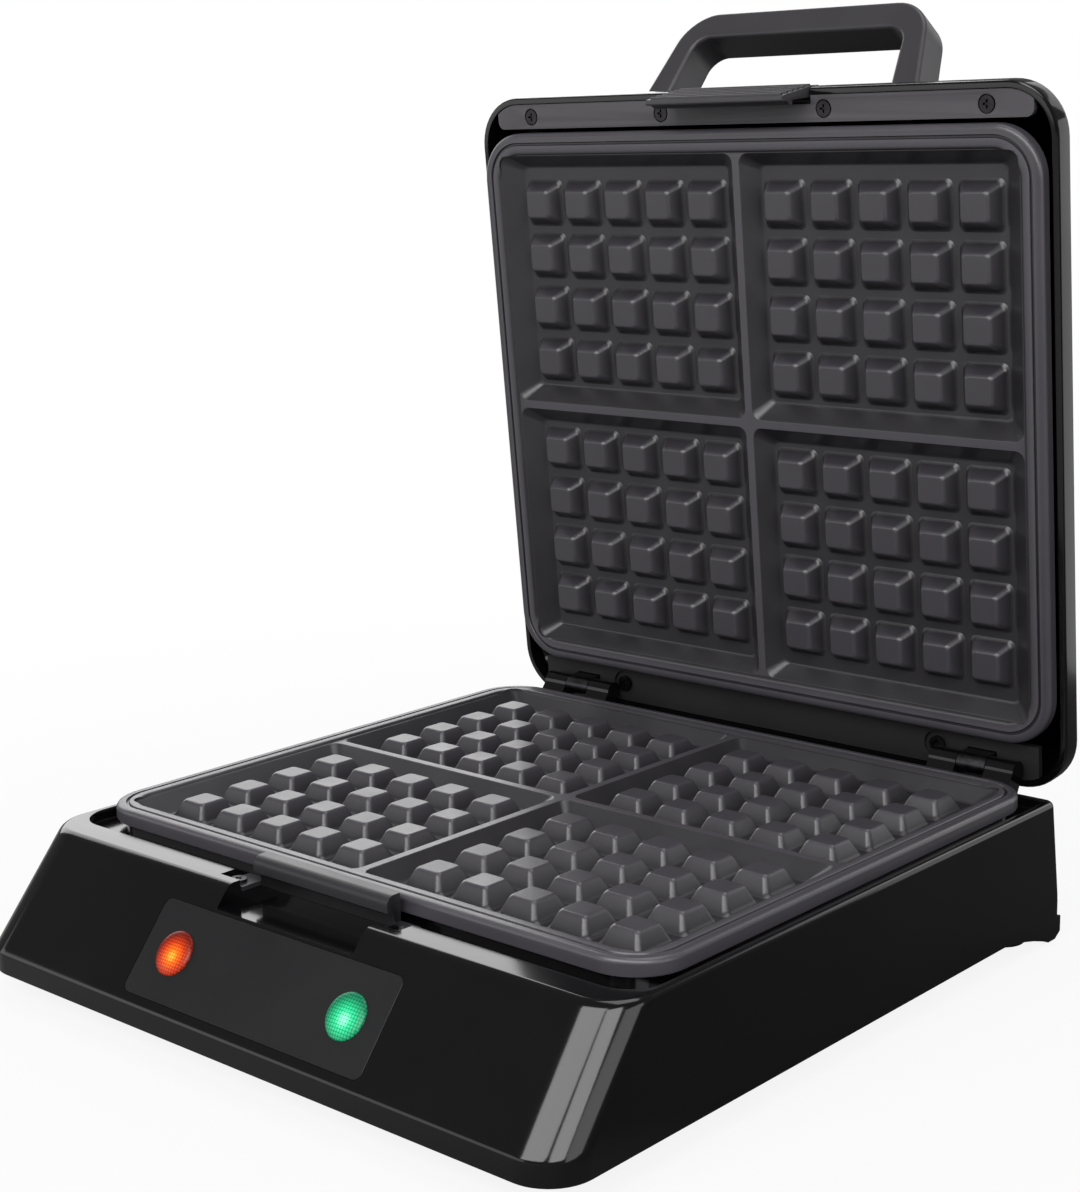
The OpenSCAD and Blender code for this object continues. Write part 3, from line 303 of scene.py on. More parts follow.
def placePiece(name, bm, matrix, material, body, node, crisp):
    # moves a piece modelled in millimetres to its place, in metres
    bmesh.ops.transform(bm, matrix=matrix, verts=bm.verts)
    dressPiece(name, plainMesh(bm, name), material, body, node, crisp)


def loopFace(bm, half, front, back, z, rFront, rBack, segments):
    # rounded rectangle lying flat, from one grid face with bevelled corners
    before = set(bm.faces)
    verts = bmesh.ops.create_grid(bm, x_segments=1, y_segments=1, size=0.5)["verts"]
    middle = (back - front) / 2
    for v in verts:
        v.co = Vector((v.co.x * 2 * half, middle + v.co.y * (front + back), z))
    for end, r in ((-1, rFront), (1, rBack)):
        chosen = [v for v in verts if v.is_valid and (v.co.y - middle) * end > 0]
        bmesh.ops.bevel(bm, geom=chosen, offset=r, offset_type="OFFSET", segments=segments,
                        profile=0.5, affect="VERTICES", material=-1)
    return (set(bm.faces) - before).pop()


def bridge(bm, faces, closed=False, capFirst=True):
    # walls between neighbouring loops; only the end faces stay, and none if closed
    loops = [list(face.edges) for face in faces]
    ends = [] if closed else [faces[0]] * capFirst + [faces[-1]]
    bmesh.ops.delete(bm, geom=[f for f in faces if f not in ends], context="FACES_ONLY")
    for low, high in list(zip(loops, loops[1:])) + [(loops[-1], loops[0])] * closed:
        bmesh.ops.bridge_loops(bm, edges=low + high)


def loft(bm, levels, segments, closed=False, capFirst=True):
    # levels are (half, front, back, z, rFront, rBack)
    # neighbours are kept a hair apart in height, or the bridge between them may twist
    faces = [loopFace(bm, *level[:3], level[3] + hairline * (i % 2), *level[4:], segments)
             for i, level in enumerate(levels)]
    bridge(bm, faces, closed, capFirst)


def prism(bm, outline, low, high):
    # an outline in Y and Z, pushed along X
    face = bm.faces.new([bm.verts.new((low, y, z)) for y, z in outline])
    grown = bmesh.ops.extrude_face_region(bm, geom=[face])["geom"]
    verts = [g for g in grown if isinstance(g, bmesh.types.BMVert)]
    bmesh.ops.translate(bm, verts=verts, vec=(high - low, 0, 0))


def block(x0, x1, y0, y1, z0, z1):
    bm = bmesh.new()
    bmesh.ops.create_cube(bm, size=1)
    bmesh.ops.scale(bm, vec=(x1 - x0, y1 - y0, z1 - z0), verts=bm.verts)
    middle = ((x0 + x1) / 2, (y0 + y1) / 2, (z0 + z1) / 2)
    bmesh.ops.translate(bm, vec=middle, verts=bm.verts)
    return bm


def rod(r, x0, x1, y, z, segments):
    bm = bmesh.new()
    bmesh.ops.create_cone(bm, cap_ends=True, segments=segments, radius1=r, radius2=r,
                          depth=x1 - x0)
    bmesh.ops.rotate(bm, verts=bm.verts, matrix=Matrix.Rotation(math.pi / 2, 3, "Y"))
    bmesh.ops.translate(bm, verts=bm.verts, vec=((x0 + x1) / 2, y, z))
    return bm


def meshOf(bm, name):
    bmesh.ops.recalc_face_normals(bm, faces=bm.faces)
    return plainMesh(bm, name)


def helper(name, bm):
    obj = bpy.data.objects.new(name, meshOf(bm, name))
    bpy.context.scene.collection.objects.link(obj)
    return obj


def carve(base, tools):
    # booleans on helper objects that are thrown away: tools are (bmesh, operation)
    holder = helper("carving", base)
    used = [holder]
    for bm, operation in tools:
        used.append(helper("tool", bm))
        step = holder.modifiers.new("step", "BOOLEAN")
        step.solver = "EXACT"
        step.operation = operation
        step.object = used[-1]
    bpy.context.view_layer.update()
    graph = bpy.context.evaluated_depsgraph_get()
    result = bmesh.new()
    result.from_mesh(bpy.data.meshes.new_from_object(holder.evaluated_get(graph)))
    for obj in used:
        bpy.data.objects.remove(obj)
    bmesh.ops.remove_doubles(result, verts=result.verts, dist=2 * hairline)
    return result


def roundEdges(bm, offset, chosen, segments, sharper=25):
    edges = [e for e in bm.edges if len(e.link_faces) == 2
             and e.calc_face_angle(0) > math.radians(sharper) and chosen(e)]
    bmesh.ops.bevel(bm, geom=edges, offset=offset, offset_type="OFFSET", segments=segments,
                    profile=0.5, affect="EDGES", clamp_overlap=True, material=-1,
                    miter_outer="ARC")


def inBox(edge, half, back, low, high):
    # both ends within a half width, ahead of a depth and between two heights
    return all(abs(v.co.x) < half and v.co.y < back and low < v.co.z < high
               for v in edge.verts)


# lengths are in millimetres, with the plates' middle as origin and z up from the table
plateSizes = {
    "width": 260, "depth": 227, "cornerR": 19, "leastR": 1.2, "lipH": 6, "overhang": 6,
    "matingZ": 58.6, "hair": 0.03, "ridgeDrop": 1, "pocketDepth": 6, "floorT": 3,
    "rimSide": 7.8, "rimEnd": 8.1, "ridgeSide": 1.0, "ridgeEnd": 0.75, "grooveAt": 0.46,
    "wallRunSide": 8.9, "wallRunEnd": 6, "dividerTop": 3, "dividerRun": 6.2,
    "pocketR": 4, "pocketTaper": 0.45, "crisp": 42,
    "pegsAcross": 5, "pegsAlong": 4, "pegFoot": 17.4, "pegTop": 11, "pegH": 6.3,
    "pegCap": 0.3, "pegCorner": 0.28, "gapSide": 1.85, "gapMid": 2.8, "gapEnd": 6,
    # a peg's rounding: up from its foot or down from its top, and out
    "footRings": ((-0.4, 1.3), (0, 0.85), (0.3, 0.4), (0.75, 0.12), (1.4, 0)),
    "topRings": ((1.15, 0), (0.7, -0.06), (0.33, -0.22), (0.1, -0.5), (0, -0.95)),
    # the plate's rounding: in from the edge of the pan, lip, rim or groove, and up
    "panRings": ((2, 0), (0.5, 0.5), (0, 2)),
    "lipRings": ((1.0, 0), (0.3, 0.25), (0, 0.9)),
    "rimRings": ((0, -1.9), (0.16, -1.1), (0.62, -0.45), (1.25, -0.1), (2.0, 0)),
    "grooveRings": ((-0.1, 0), (0.1, -0.25), (0.3, -0.75), (0.9, -0.75), (1.1, -0.25),
                    (1.3, 0)),
    # in at the side, share of the ridge's drop, in at the end
    "ridgeRings": ((-0.9, 0, -0.9), (-0.3, 0.12, -0.3), (0.15, 0.45, 0.1), (0.75, 1, 0.5)),
    # share of the pocket wall's run, and up from the mouth or the floor
    "mouthRings": ((0, 2), (0, 0), (0.035, -0.14), (0.1, -0.5)),
    "floorRings": ((0.88, 0.75), (0.98, 0.16), (1.1, 0)),
}
hingeSizes = {"behindPlate": 10.7, "rise": 0.5, "fromSide": 32, "open": 84.7}

# closed lid to open lid, and both to the frame's metres
hingePos = next(j["pos_m"] for j in frame["joints"] if j["name"] == "lid_hinge")
hingeX = plateSizes["width"] / 2 - hingeSizes["fromSide"]
hingeY = plateSizes["depth"] / 2 + hingeSizes["behindPlate"]
hingeZ = plateSizes["matingZ"] + hingeSizes["rise"]
toRow = (
    Matrix.Translation((0, hingePos[1] - hingeY * mm, 0))
    @ Matrix.Diagonal((mm, mm, mm, 1))
)
onLid = (
    toRow
    @ Matrix.Translation((0, hingeY, hingeZ))
    @ Matrix.Rotation(-math.radians(hingeSizes["open"]), 4, "X")
    @ Matrix.Translation((0, -hingeY, -hingeZ))
)


def pegMesh():
    p = plateSizes
    foot, top, h = p["pegFoot"] / 2, p["pegTop"] / 2, p["pegH"]
    levels = []
    for z, out in list(p["footRings"]) + [(h - down, out) for down, out in p["topRings"]]:
        along = min(max(z, 0), h - p["pegCap"])
        s = foot + (top - foot) * along / h + out
        levels.append((s, s, s, z, s * p["pegCorner"], s * p["pegCorner"]))
    bm = bmesh.new()
    loft(bm, levels, 4, capFirst=False)
    return meshOf(bm, "peg")


def plateRing(inset, z, insetEnd=None):
    p = plateSizes
    end = p["depth"] / 2 - (inset if insetEnd is None else insetEnd)
    r = max(p["cornerR"] - inset, p["leastR"])
    return (p["width"] / 2 - inset, end, end, z, r, r)


def plateBody():
    p = plateSizes
    bottom = -(p["ridgeDrop"] + p["pocketDepth"] + p["floorT"])
    pan, under, groove = p["overhang"], -p["lipH"], p["rimSide"] * p["grooveAt"]
    levels = [plateRing(pan + inset, bottom + up) for inset, up in p["panRings"]]
    levels.append(plateRing(pan, under))
    levels += [plateRing(inset, under + up) for inset, up in p["lipRings"]]
    levels += [plateRing(inset, z) for inset, z in p["rimRings"]]
    levels += [plateRing(groove + inset, z) for inset, z in p["grooveRings"]]
    levels += [plateRing(p["rimSide"] + side, -p["ridgeDrop"] * share, p["rimEnd"] + end)
               for side, share, end in p["ridgeRings"]]
    bm = bmesh.new()
    loft(bm, levels, 10)
    return bm


def pocketSpans():
    # start and end of one pocket's mouth and of its floor, across and along
    p = plateSizes
    w, d, start = p["width"] / 2, p["depth"] / 2, p["dividerTop"] / 2
    mouth = ((start, w - (p["rimSide"] + p["ridgeSide"])),
             (start, d - (p["rimEnd"] + p["ridgeEnd"])))
    floor = ((start + p["dividerRun"], w - p["rimSide"] - p["wallRunSide"]),
             (start + p["dividerRun"], d - p["rimEnd"] - p["wallRunEnd"]))
    return mouth, floor


def pocketCutter(sx, sy):
    # run-out walls, rounded at the mouth and at the foot
    p = plateSizes
    mouth, floor = pocketSpans()
    bm = bmesh.new()
    faces = []
    deep = [(share, up - p["pocketDepth"]) for share, up in p["floorRings"]]
    for share, z in list(p["mouthRings"]) + deep:
        (x0, x1), (y0, y1) = (
            [a + (b - a) * share for a, b in zip(*spans)] for spans in zip(mouth, floor))
        reach, r = (y1 - y0) / 2, p["pocketR"] * (1 - p["pocketTaper"] * share)
        face = loopFace(bm, (x1 - x0) / 2, reach, reach, z - p["ridgeDrop"], r, r, 5)
        bmesh.ops.translate(bm, verts=face.verts, vec=((x0 + x1) / 2, (y0 + y1) / 2, 0))
        faces.append(face)
    bridge(bm, faces)
    bmesh.ops.scale(bm, vec=(sx, sy, 1), verts=bm.verts)
    return bm


def pegField():
    # four pockets of pegs on their floors
    p = plateSizes
    across, along = pocketSpans()[1]
    half, z = p["pegFoot"] / 2, -p["ridgeDrop"] - p["pocketDepth"]
    firstX, lastX = across[0] + p["gapSide"] + half, across[1] - p["gapSide"] - half
    firstY, lastY = along[0] + p["gapMid"] + half, along[1] - p["gapEnd"] - half
    peg = pegMesh()
    bm = bmesh.new()
    for i in range(p["pegsAcross"]):
        for j in range(p["pegsAlong"]):
            x = firstX + (lastX - firstX) * i / (p["pegsAcross"] - 1)
            y = firstY + (lastY - firstY) * j / (p["pegsAlong"] - 1)
            for sx, sy in corners:
                before = len(bm.verts)
                bm.from_mesh(peg)
                bm.verts.ensure_lookup_table()
                bmesh.ops.translate(bm, verts=bm.verts[before:], vec=(sx * x, sy * y, z))
    return meshOf(bm, "pegs")


def bakingPlate():
    bm = carve(plateBody(), [(pocketCutter(sx, sy), "DIFFERENCE") for sx, sy in corners])
    bm.from_mesh(pegField())
    return bm


def makePlates():
    z, hair, crisp = (plateSizes[key] for key in ("matingZ", "hair", "crisp"))
    coat = finishes["coatedPlate"]
    lower = bakingPlate()
    print("plates made:", len(lower.faces), "faces each")
    placePiece("lowerBakingPlate", lower, toRow @ Matrix.Translation((0, 0, z - hair)),
               coat, "base", "lower_plate", crisp)
    upper = bakingPlate()
    bmesh.ops.scale(upper, vec=(1, 1, -1), verts=upper.verts)
    bmesh.ops.reverse_faces(upper, faces=upper.faces)
    placePiece("upperBakingPlate", upper, onLid @ Matrix.Translation((0, 0, z + hair)),
               coat, "lid", "upper_plate", crisp)


makePlates()

housingSizes = {
    "skirtHalf": 137.3, "rimHalf": 135.7, "skirtFront": 162.5, "rimFront": 132.2,
    "skirtBack": 121, "rimBack": 118.2, "frontR": 16, "backR": 4, "leastFrontR": 1,
    "leastBackR": 0.4, "footZ": 8, "skirtZ": 16, "rimZ": 53.5, "deckDrop": 4, "wall": 2.6,
    "collar": 2, "panGap": 0.5, "frontFlat": 11, "edgeRound": 0.55, "crisp": 38,
    "notchHalf": 32.6, "notchZ": 46.3, "notchBack": 119.5, "notchFloorFront": 141,
    "bayHalf": 42.6, "bayFront": 127.5, "bayBack": 117,
    "cutReach": 30, "cutHalf": 150, "cutAhead": 40, "cutTall": 90,
    "panelW": 113.8, "panelH": 34, "panelUp": 3.7, "panelT": 1.2, "panelR": 3,
    "panelGap": 0.15,
    "lampX": 41.3, "lampHole": 12.3, "lampHoleR": 6.1, "lampHoleDeep": 9,
    "postIn": 6.3, "postW": 11.7, "postRoot": 14, "postR": 4.2, "postLap": 0.4,
    "legTuck": 0.05, "inletX": -48, "inletZ": 29, "inletR": 11, "inletDeep": 4.6,
    "inletOut": 1, "clear": 5, "near": 0.4,
    # up from the foot's edge or the skirt's top, or down from the rim, and in
    "footRings": ((0, 0.9), (0.25, 0.25), (0.9, 0)),
    "skirtRings": ((-0.7, 0), (-0.1, 0.1), (0.6, 0.05), (1.6, 0)),
    "rimRings": ((2.2, 0), (1.45, 0.08), (0.85, 0.3), (0.38, 0.68), (0.1, 1.15), (0, 1.7)),
    # down from the rim or up from the deck, in at the sides, past the front's flat, in behind
    "fallRings": ((0, 2.9, 0, 2.2), (0.12, 3.2, 0.35, 2.5), (0.5, 3.5, 0.7, 2.75),
                  (1.1, 3.7, 0.9, 2.95)),
    "deckRings": ((1.0, 3.8, 1, 3.1), (0.3, 4.0, 1.15, 3.4), (0, 4.4, 1.6, 4.2)),
    # a back leg from the side: from the back wall, and up
    "leg": ((-40, 9), (-37, 8), (-29, 6.8), (-20, 4.6), (-13, 2.4), (-9, 0.8), (-4, 0.8),
            (-0.4, 3), (-0.4, 9)),
}


def slopeMatrix(y, z, lean):
    # local X across, Y up the slope, Z out of it
    return Matrix.Translation((0, y, z)) @ Matrix.Rotation(math.pi / 2 - lean, 4, "X")


housingLean = math.atan2(housingSizes["skirtFront"] - housingSizes["rimFront"],
                         housingSizes["rimZ"] - housingSizes["skirtZ"])
onFront = slopeMatrix(-housingSizes["skirtFront"], housingSizes["skirtZ"], housingLean)
panelY = housingSizes["panelUp"] + housingSizes["panelH"] / 2


def housingLevel(z, inset, frontInset=None, backInset=None):
    # an outline at a height, with the walls' own slopes
    h = housingSizes
    up = min(max((z - h["skirtZ"]) / (h["rimZ"] - h["skirtZ"]), 0), 1)
    half, front, back = (h["skirt" + side] + (h["rim" + side] - h["skirt" + side]) * up
                         for side in ("Half", "Front", "Back"))
    front -= inset if frontInset is None else frontInset
    back -= inset if backInset is None else backInset
    return (half - inset, front, back, z, max(h["frontR"] - inset, h["leastFrontR"]),
            max(h["backR"] - inset, h["leastBackR"]))


def slopeBlock(x, y, w, h, r, low, high):
    # rounded block standing on the sloping front
    bm = bmesh.new()
    loft(bm, [(w / 2, h / 2, h / 2, z, r, r) for z in (low, high)], 6)
    bmesh.ops.translate(bm, verts=bm.verts, vec=(x, y, 0))
    bmesh.ops.transform(bm, matrix=onFront, verts=bm.verts)
    return bm


def housingBody():
    # the wall's outside, the rim, the deck and the collar round the plate's pan, as one ring
    h, p = housingSizes, plateSizes
    top, deck, flat = h["rimZ"], h["rimZ"] - h["deckDrop"], h["frontFlat"]
    under, collarTop = deck - h["wall"], p["matingZ"] - p["lipH"]
    grow = h["panGap"] - p["overhang"]

    def opening(z, out):
        half, end = p["width"] / 2 + grow + out, p["depth"] / 2 + grow + out
        r = p["cornerR"] + grow + out
        return (half, end, end, z, r, r)

    levels = [housingLevel(h["footZ"], h["wall"])]
    levels += [housingLevel(h["footZ"] + up, inset) for up, inset in h["footRings"]]
    levels += [housingLevel(h["skirtZ"] + up, inset) for up, inset in h["skirtRings"]]
    levels += [housingLevel(top - down, inset) for down, inset in h["rimRings"]]
    falls = list(h["fallRings"]) + [(h["deckDrop"] - up, *rest) for up, *rest in h["deckRings"]]
    levels += [housingLevel(top - down, side, flat + front, back)
               for down, side, front, back in falls]
    levels += [opening(deck, h["collar"]), opening(collarTop, h["collar"]),
               opening(collarTop, 0), opening(under, 0), housingLevel(under, h["wall"] + 1)]
    bm = bmesh.new()
    loft(bm, levels, 12, closed=True)
    return bm


def frontTools():
    # the latch's notch with its floor, the bay for the catch's feet and the panel's recess
    h = housingSizes
    top, deck, clear = h["rimZ"], h["rimZ"] - h["deckDrop"], h["clear"]
    notch, wall = h["notchHalf"], h["wall"]
    floor = block(-notch - wall, notch + wall, -h["notchFloorFront"], -h["notchBack"] + wall,
                  h["notchZ"] - wall, deck)
    gap = block(-notch, notch, -h["skirtFront"], -h["notchBack"], h["notchZ"], top + clear)
    front, ahead, reach = -h["skirtFront"], -h["skirtFront"] - h["cutAhead"], h["cutReach"]
    slope = bmesh.new()
    prism(slope, [(front, 0), (ahead, 0), (ahead, h["cutTall"]),
                  (-h["rimFront"] + math.tan(housingLean) * reach, top + reach + sliver),
                  (front, h["skirtZ"])], -h["cutHalf"], h["cutHalf"])
    bay = block(-h["bayHalf"], h["bayHalf"], -h["bayFront"], -h["bayBack"],
                deck + sliver, top + clear)
    play = h["panelGap"]
    recess = slopeBlock(0, panelY, h["panelW"] + 2 * play, h["panelH"] + 2 * play,
                        h["panelR"] + play, -h["panelT"], clear)
    holes = [slopeBlock(sx * h["lampX"], panelY, h["lampHole"], h["lampHole"],
                        h["lampHoleR"], -h["lampHoleDeep"], clear) for sx in (-1, 1)]
    return [(floor, "UNION")] + [(bm, "DIFFERENCE") for bm in (slope, gap, bay, recess, *holes)]


def postTools():
    # two posts with rounded heads beside each hinge arm
    h = housingSizes
    root, y0, r = h["rimZ"] - h["postRoot"], h["rimBack"] - h["wall"], h["postR"]
    outline = [(y0, root), (h["rimBack"] + h["postLap"], root), (hingeY + r, hingeZ),
               (hingeY - r, hingeZ), (y0, h["rimZ"])]
    tools = []
    for sx in (-1, 1):
        for x0 in (hingeX - h["postIn"] - h["postW"], hingeX + h["postIn"]):
            start, end = sx * x0, sx * (x0 + h["postW"])
            post = bmesh.new()
            prism(post, outline, start, end)
            tools += [post, rod(r, min(start, end), max(start, end), hingeY, hingeZ, 40)]
    return [(bm, "UNION") for bm in tools]


def backTools():
    # the back legs and the boss of the cord's inlet
    h = housingSizes
    back = h["skirtBack"]
    legs = bmesh.new()
    for sx in (-1, 1):
        prism(legs, [(back + y, z) for y, z in h["leg"]],
              sx * (h["skirtHalf"] - h["wall"]), sx * (h["skirtHalf"] - h["legTuck"]))
    inlet = rod(h["inletR"], -h["inletDeep"], 0, 0, 0, 48)
    place = Matrix.Translation((h["inletX"], back + h["inletOut"], h["inletZ"]))
    bmesh.ops.transform(inlet, matrix=place @ Matrix.Rotation(math.pi / 2, 4, "Z"),
                        verts=inlet.verts)
    return [(legs, "UNION"), (inlet, "UNION")]


def makeHousing():
    h = housingSizes
    near, tall = h["near"], h["rimZ"] + h["clear"]
    bm = carve(housingBody(), frontTools() + postTools() + backTools())

    def nearNotch(edge):
        return (inBox(edge, h["notchHalf"] + near, -h["notchBack"] + near,
                      h["notchZ"] - near, tall)
                or inBox(edge, h["bayHalf"] + near, -h["bayFront"] + near,
                         h["rimZ"] - h["deckDrop"] + near, tall))

    roundEdges(bm, h["edgeRound"], nearNotch, 3)
    placePiece("housingShell", bm, toRow, finishes["glossBlack"], "base", "base_housing",
               h["crisp"])
    print("housing made")


makeHousing()

lidSizes = {
    "half": 134, "front": 127.8, "back": 132, "r": 20, "edgeZ": 63.6, "bandZ": 71.8,
    "topZ": 106.6, "lean": 39, "topR": 12, "leastTopR": 1.6, "wall": 2.6, "crisp": 38,
    "slopeStart": 1.3, "bandRound": 0.6, "arcStep": 9, "slopeSteps": 4,
    "hollowBand": 1, "hollowTop": 6, "hollowIn": 7, "hollowR": 8,
    "clipHalf": 31.8, "clipGap": 0.8, "clipTop": 81, "clipDeep": 11.7, "clipRound": 0.5,
    "clipBelow": 3, "clear": 5, "near": 0.3,
    # up from the edge or from the band's top, in, and off the corner's radius
    "edgeRings": ((0, 1.2, 1.2), (0.3, 0.35, 0.35), (1.2, 0, 0)),
    "bandRings": ((-1.2, 0, 0), (-0.35, 0.1, 0), (0.4, 0.55, 0.3)),
}


def lidBody():
    # a shell with sloping walls and a rounded top edge, and its hollow
    s, wall = lidSizes, lidSizes["wall"]
    lean, topR = math.radians(s["lean"]), s["topR"]
    ballZ = s["topZ"] - topR
    capIn = (ballZ - s["bandZ"]) * math.tan(lean) + topR / math.cos(lean)

    def level(z, inset, r):
        return (s["half"] - inset, s["front"] - inset, s["back"] - inset, z, r, r)

    outer = [level(s["edgeZ"], wall, s["r"] - wall)]
    for base in ("edge", "band"):
        outer += [level(s[base + "Z"] + up, inset, s["r"] - less)
                  for up, inset, less in s[base + "Rings"]]
    start = s["slopeStart"]
    foot = level(s["bandZ"] + start, start * math.tan(lean) + sliver, s["r"] - s["bandRound"])
    arc = [math.radians(phi) for phi in (*range(s["lean"], 90, s["arcStep"]), 90)]
    dome = [level(ballZ + topR * math.sin(a), capIn - topR * math.cos(a),
                  topR * math.cos(a) + s["leastTopR"]) for a in arc]
    shares = [step / s["slopeSteps"] for step in range(1, s["slopeSteps"])]
    slope = [tuple(a + (b - a) * share for a, b in zip(foot, dome[0])) for share in shares]
    inner = [level(s["edgeZ"], wall, s["r"] - wall),
             level(s["bandZ"] - s["hollowBand"], wall, s["r"] - wall),
             level(ballZ + s["hollowTop"], capIn - s["hollowIn"], s["hollowR"])]
    bm = bmesh.new()
    loft(bm, outer + [foot] + slope + dome, 12, capFirst=False)
    loft(bm, inner, 12, capFirst=False)
    bmesh.ops.remove_doubles(bm, verts=bm.verts, dist=hairline)
    return bm


def makeLid():
    s = lidSizes
    clip, near = s["clipHalf"] + s["clipGap"], s["near"]
    gap = block(-clip, clip, -s["front"] - s["clear"], -s["front"] + s["clipDeep"],
                s["edgeZ"] - s["clipBelow"], s["clipTop"])
    bm = carve(lidBody(), [(gap, "DIFFERENCE")])

    def nearClip(edge):
        return inBox(edge, clip + near, -s["front"] + s["clipDeep"] - near, 0,
                     s["clipTop"] + near)

    roundEdges(bm, s["clipRound"], nearClip, 2)
    placePiece("lidShell", bm, onLid, finishes["glossBlack"], "lid", "lid_shell",
               s["crisp"])
    print("lid made")


makeLid()

handleSizes = {
    "half": 66, "reach": 46, "lean": 12.5, "thick": 11.5, "deep": 16, "up": 13.3,
    "r": 16, "innerR": 8, "rShare": 0.87, "innerLean": 0.55, "footSpread": 1.5,
    "edge": 1.7, "sharper": 60, "flat": 0.1, "crisp": 40,
}
onLidFront = onLid @ slopeMatrix(
    -lidSizes["front"], lidSizes["bandZ"], math.radians(lidSizes["lean"]))


def makeHandle():
    # a loop drawn flat on the lid's slope, pushed out and rounded
    h = handleSizes
    lean = math.radians(h["lean"])
    half, reach = h["half"], h["reach"]
    innerHalf, innerReach = half - h["thick"] - h["footSpread"], reach - h["thick"]
    top = half - reach * math.tan(lean)
    innerTop = innerHalf - innerReach * math.tan(lean * h["innerLean"])
    bm = bmesh.new()
    verts = [bm.verts.new((x, 0, z)) for x, z in (
        (half, 0), (top, reach), (-top, reach), (-half, 0),
        (-innerHalf, 0), (-innerTop, innerReach), (innerTop, innerReach), (innerHalf, 0))]
    bm.faces.new(verts)
    for chosen, r in ((verts[1:3], h["r"]), (verts[5:7], h["innerR"])):
        bmesh.ops.bevel(bm, geom=chosen, offset=r * h["rShare"], offset_type="OFFSET",
                        segments=10, profile=0.5, affect="VERTICES", material=-1)
    grown = bmesh.ops.extrude_face_region(bm, geom=list(bm.faces))["geom"]
    far = [g for g in grown if isinstance(g, bmesh.types.BMVert)]
    bmesh.ops.translate(bm, vec=(0, h["deep"], 0), verts=far)
    bmesh.ops.recalc_face_normals(bm, faces=bm.faces)
    bmesh.ops.translate(bm, vec=(0, h["up"], 0), verts=bm.verts)

    def roundLoop(edge):  # the edges of its two flat sides
        return abs(edge.verts[0].co.y - edge.verts[1].co.y) < h["flat"]

    roundEdges(bm, h["edge"], roundLoop, 4, h["sharper"])
    placePiece("loopHandle", bm, onLidFront, finishes["charcoal"], "lid", "handle",
               h["crisp"])
    print("handle made")


makeHandle()

# small pieces softened from their own solids
softSizes = {"segments": 2, "limit": 35, "crisp": 45, "flatAngle": 0.5, "merge": 0.002}
softPieces = {
    "frontTrim": ("lid_trim", "lid", "charcoal", "paleCharcoal", 0.35),
    "backTrim": ("rear_trim", "lid", "matt_black", "mattBlack", 0.35),
    "catchBar": ("latch_catch", "base", "charcoal", "darkCatch", 0.3),
    "faciaPanel": ("control_panel", "base", "charcoal", "panelBlack", 0.22),
    "latchTab": ("latch_clip", "latch", "charcoal", "charcoal", 0.3),
}


def softened(name, node, body, slot, look, width):
    # a merged copy of the solid with its crisp edges rounded
    bm = bmesh.new()
    bm.from_mesh(frame["nodes"][node].data)
    bmesh.ops.remove_doubles(bm, verts=bm.verts, dist=softSizes["merge"] * mm)
    bmesh.ops.dissolve_limit(bm, angle_limit=math.radians(softSizes["flatAngle"]),
                             verts=bm.verts, edges=bm.edges)
    dressPiece(name, plainMesh(bm, name), finishes[look], body, node,
               softSizes["crisp"], width)


for name, values in softPieces.items():
    softened(name, *values)
print("small pieces softened")

# lamp lenses: shallow domes that stand a little out of the panel
lensSizes = {
    "r": 7.9, "rise": 1.2, "base": 0.02, "wallTop": 0.25, "shoulderIn": 0.12,
    "shoulderUp": 0.42, "domeSteps": 9, "grid": 1.1, "glowX": 0.9, "glowY": -1.3,
    "glowCore": 1, "reach": 7.6, "crisp": 50,
}
lensLooks = {
    "sockets": {"Roughness": 0.3, "IOR": 1.45, "Specular IOR Level": 0.3,
                "Emission Strength": 0.6},
    "gridLine": (0.0, 0.2), "gridTone": (0.35, 1.0),
    "orangeLens": [(0, (1.0, 0.36, 0.03, 1)), (0.2, (0.95, 0.15, 0.008, 1)),
                   (0.6, (0.5, 0.035, 0.004, 1)), (1, (0.14, 0.008, 0.003, 1))],
    "greenLens": [(0, (0.25, 0.95, 0.55, 1)), (0.3, (0.03, 0.62, 0.27, 1)),
                  (0.7, (0.012, 0.34, 0.14, 1)), (1, (0.008, 0.16, 0.075, 1))],
}


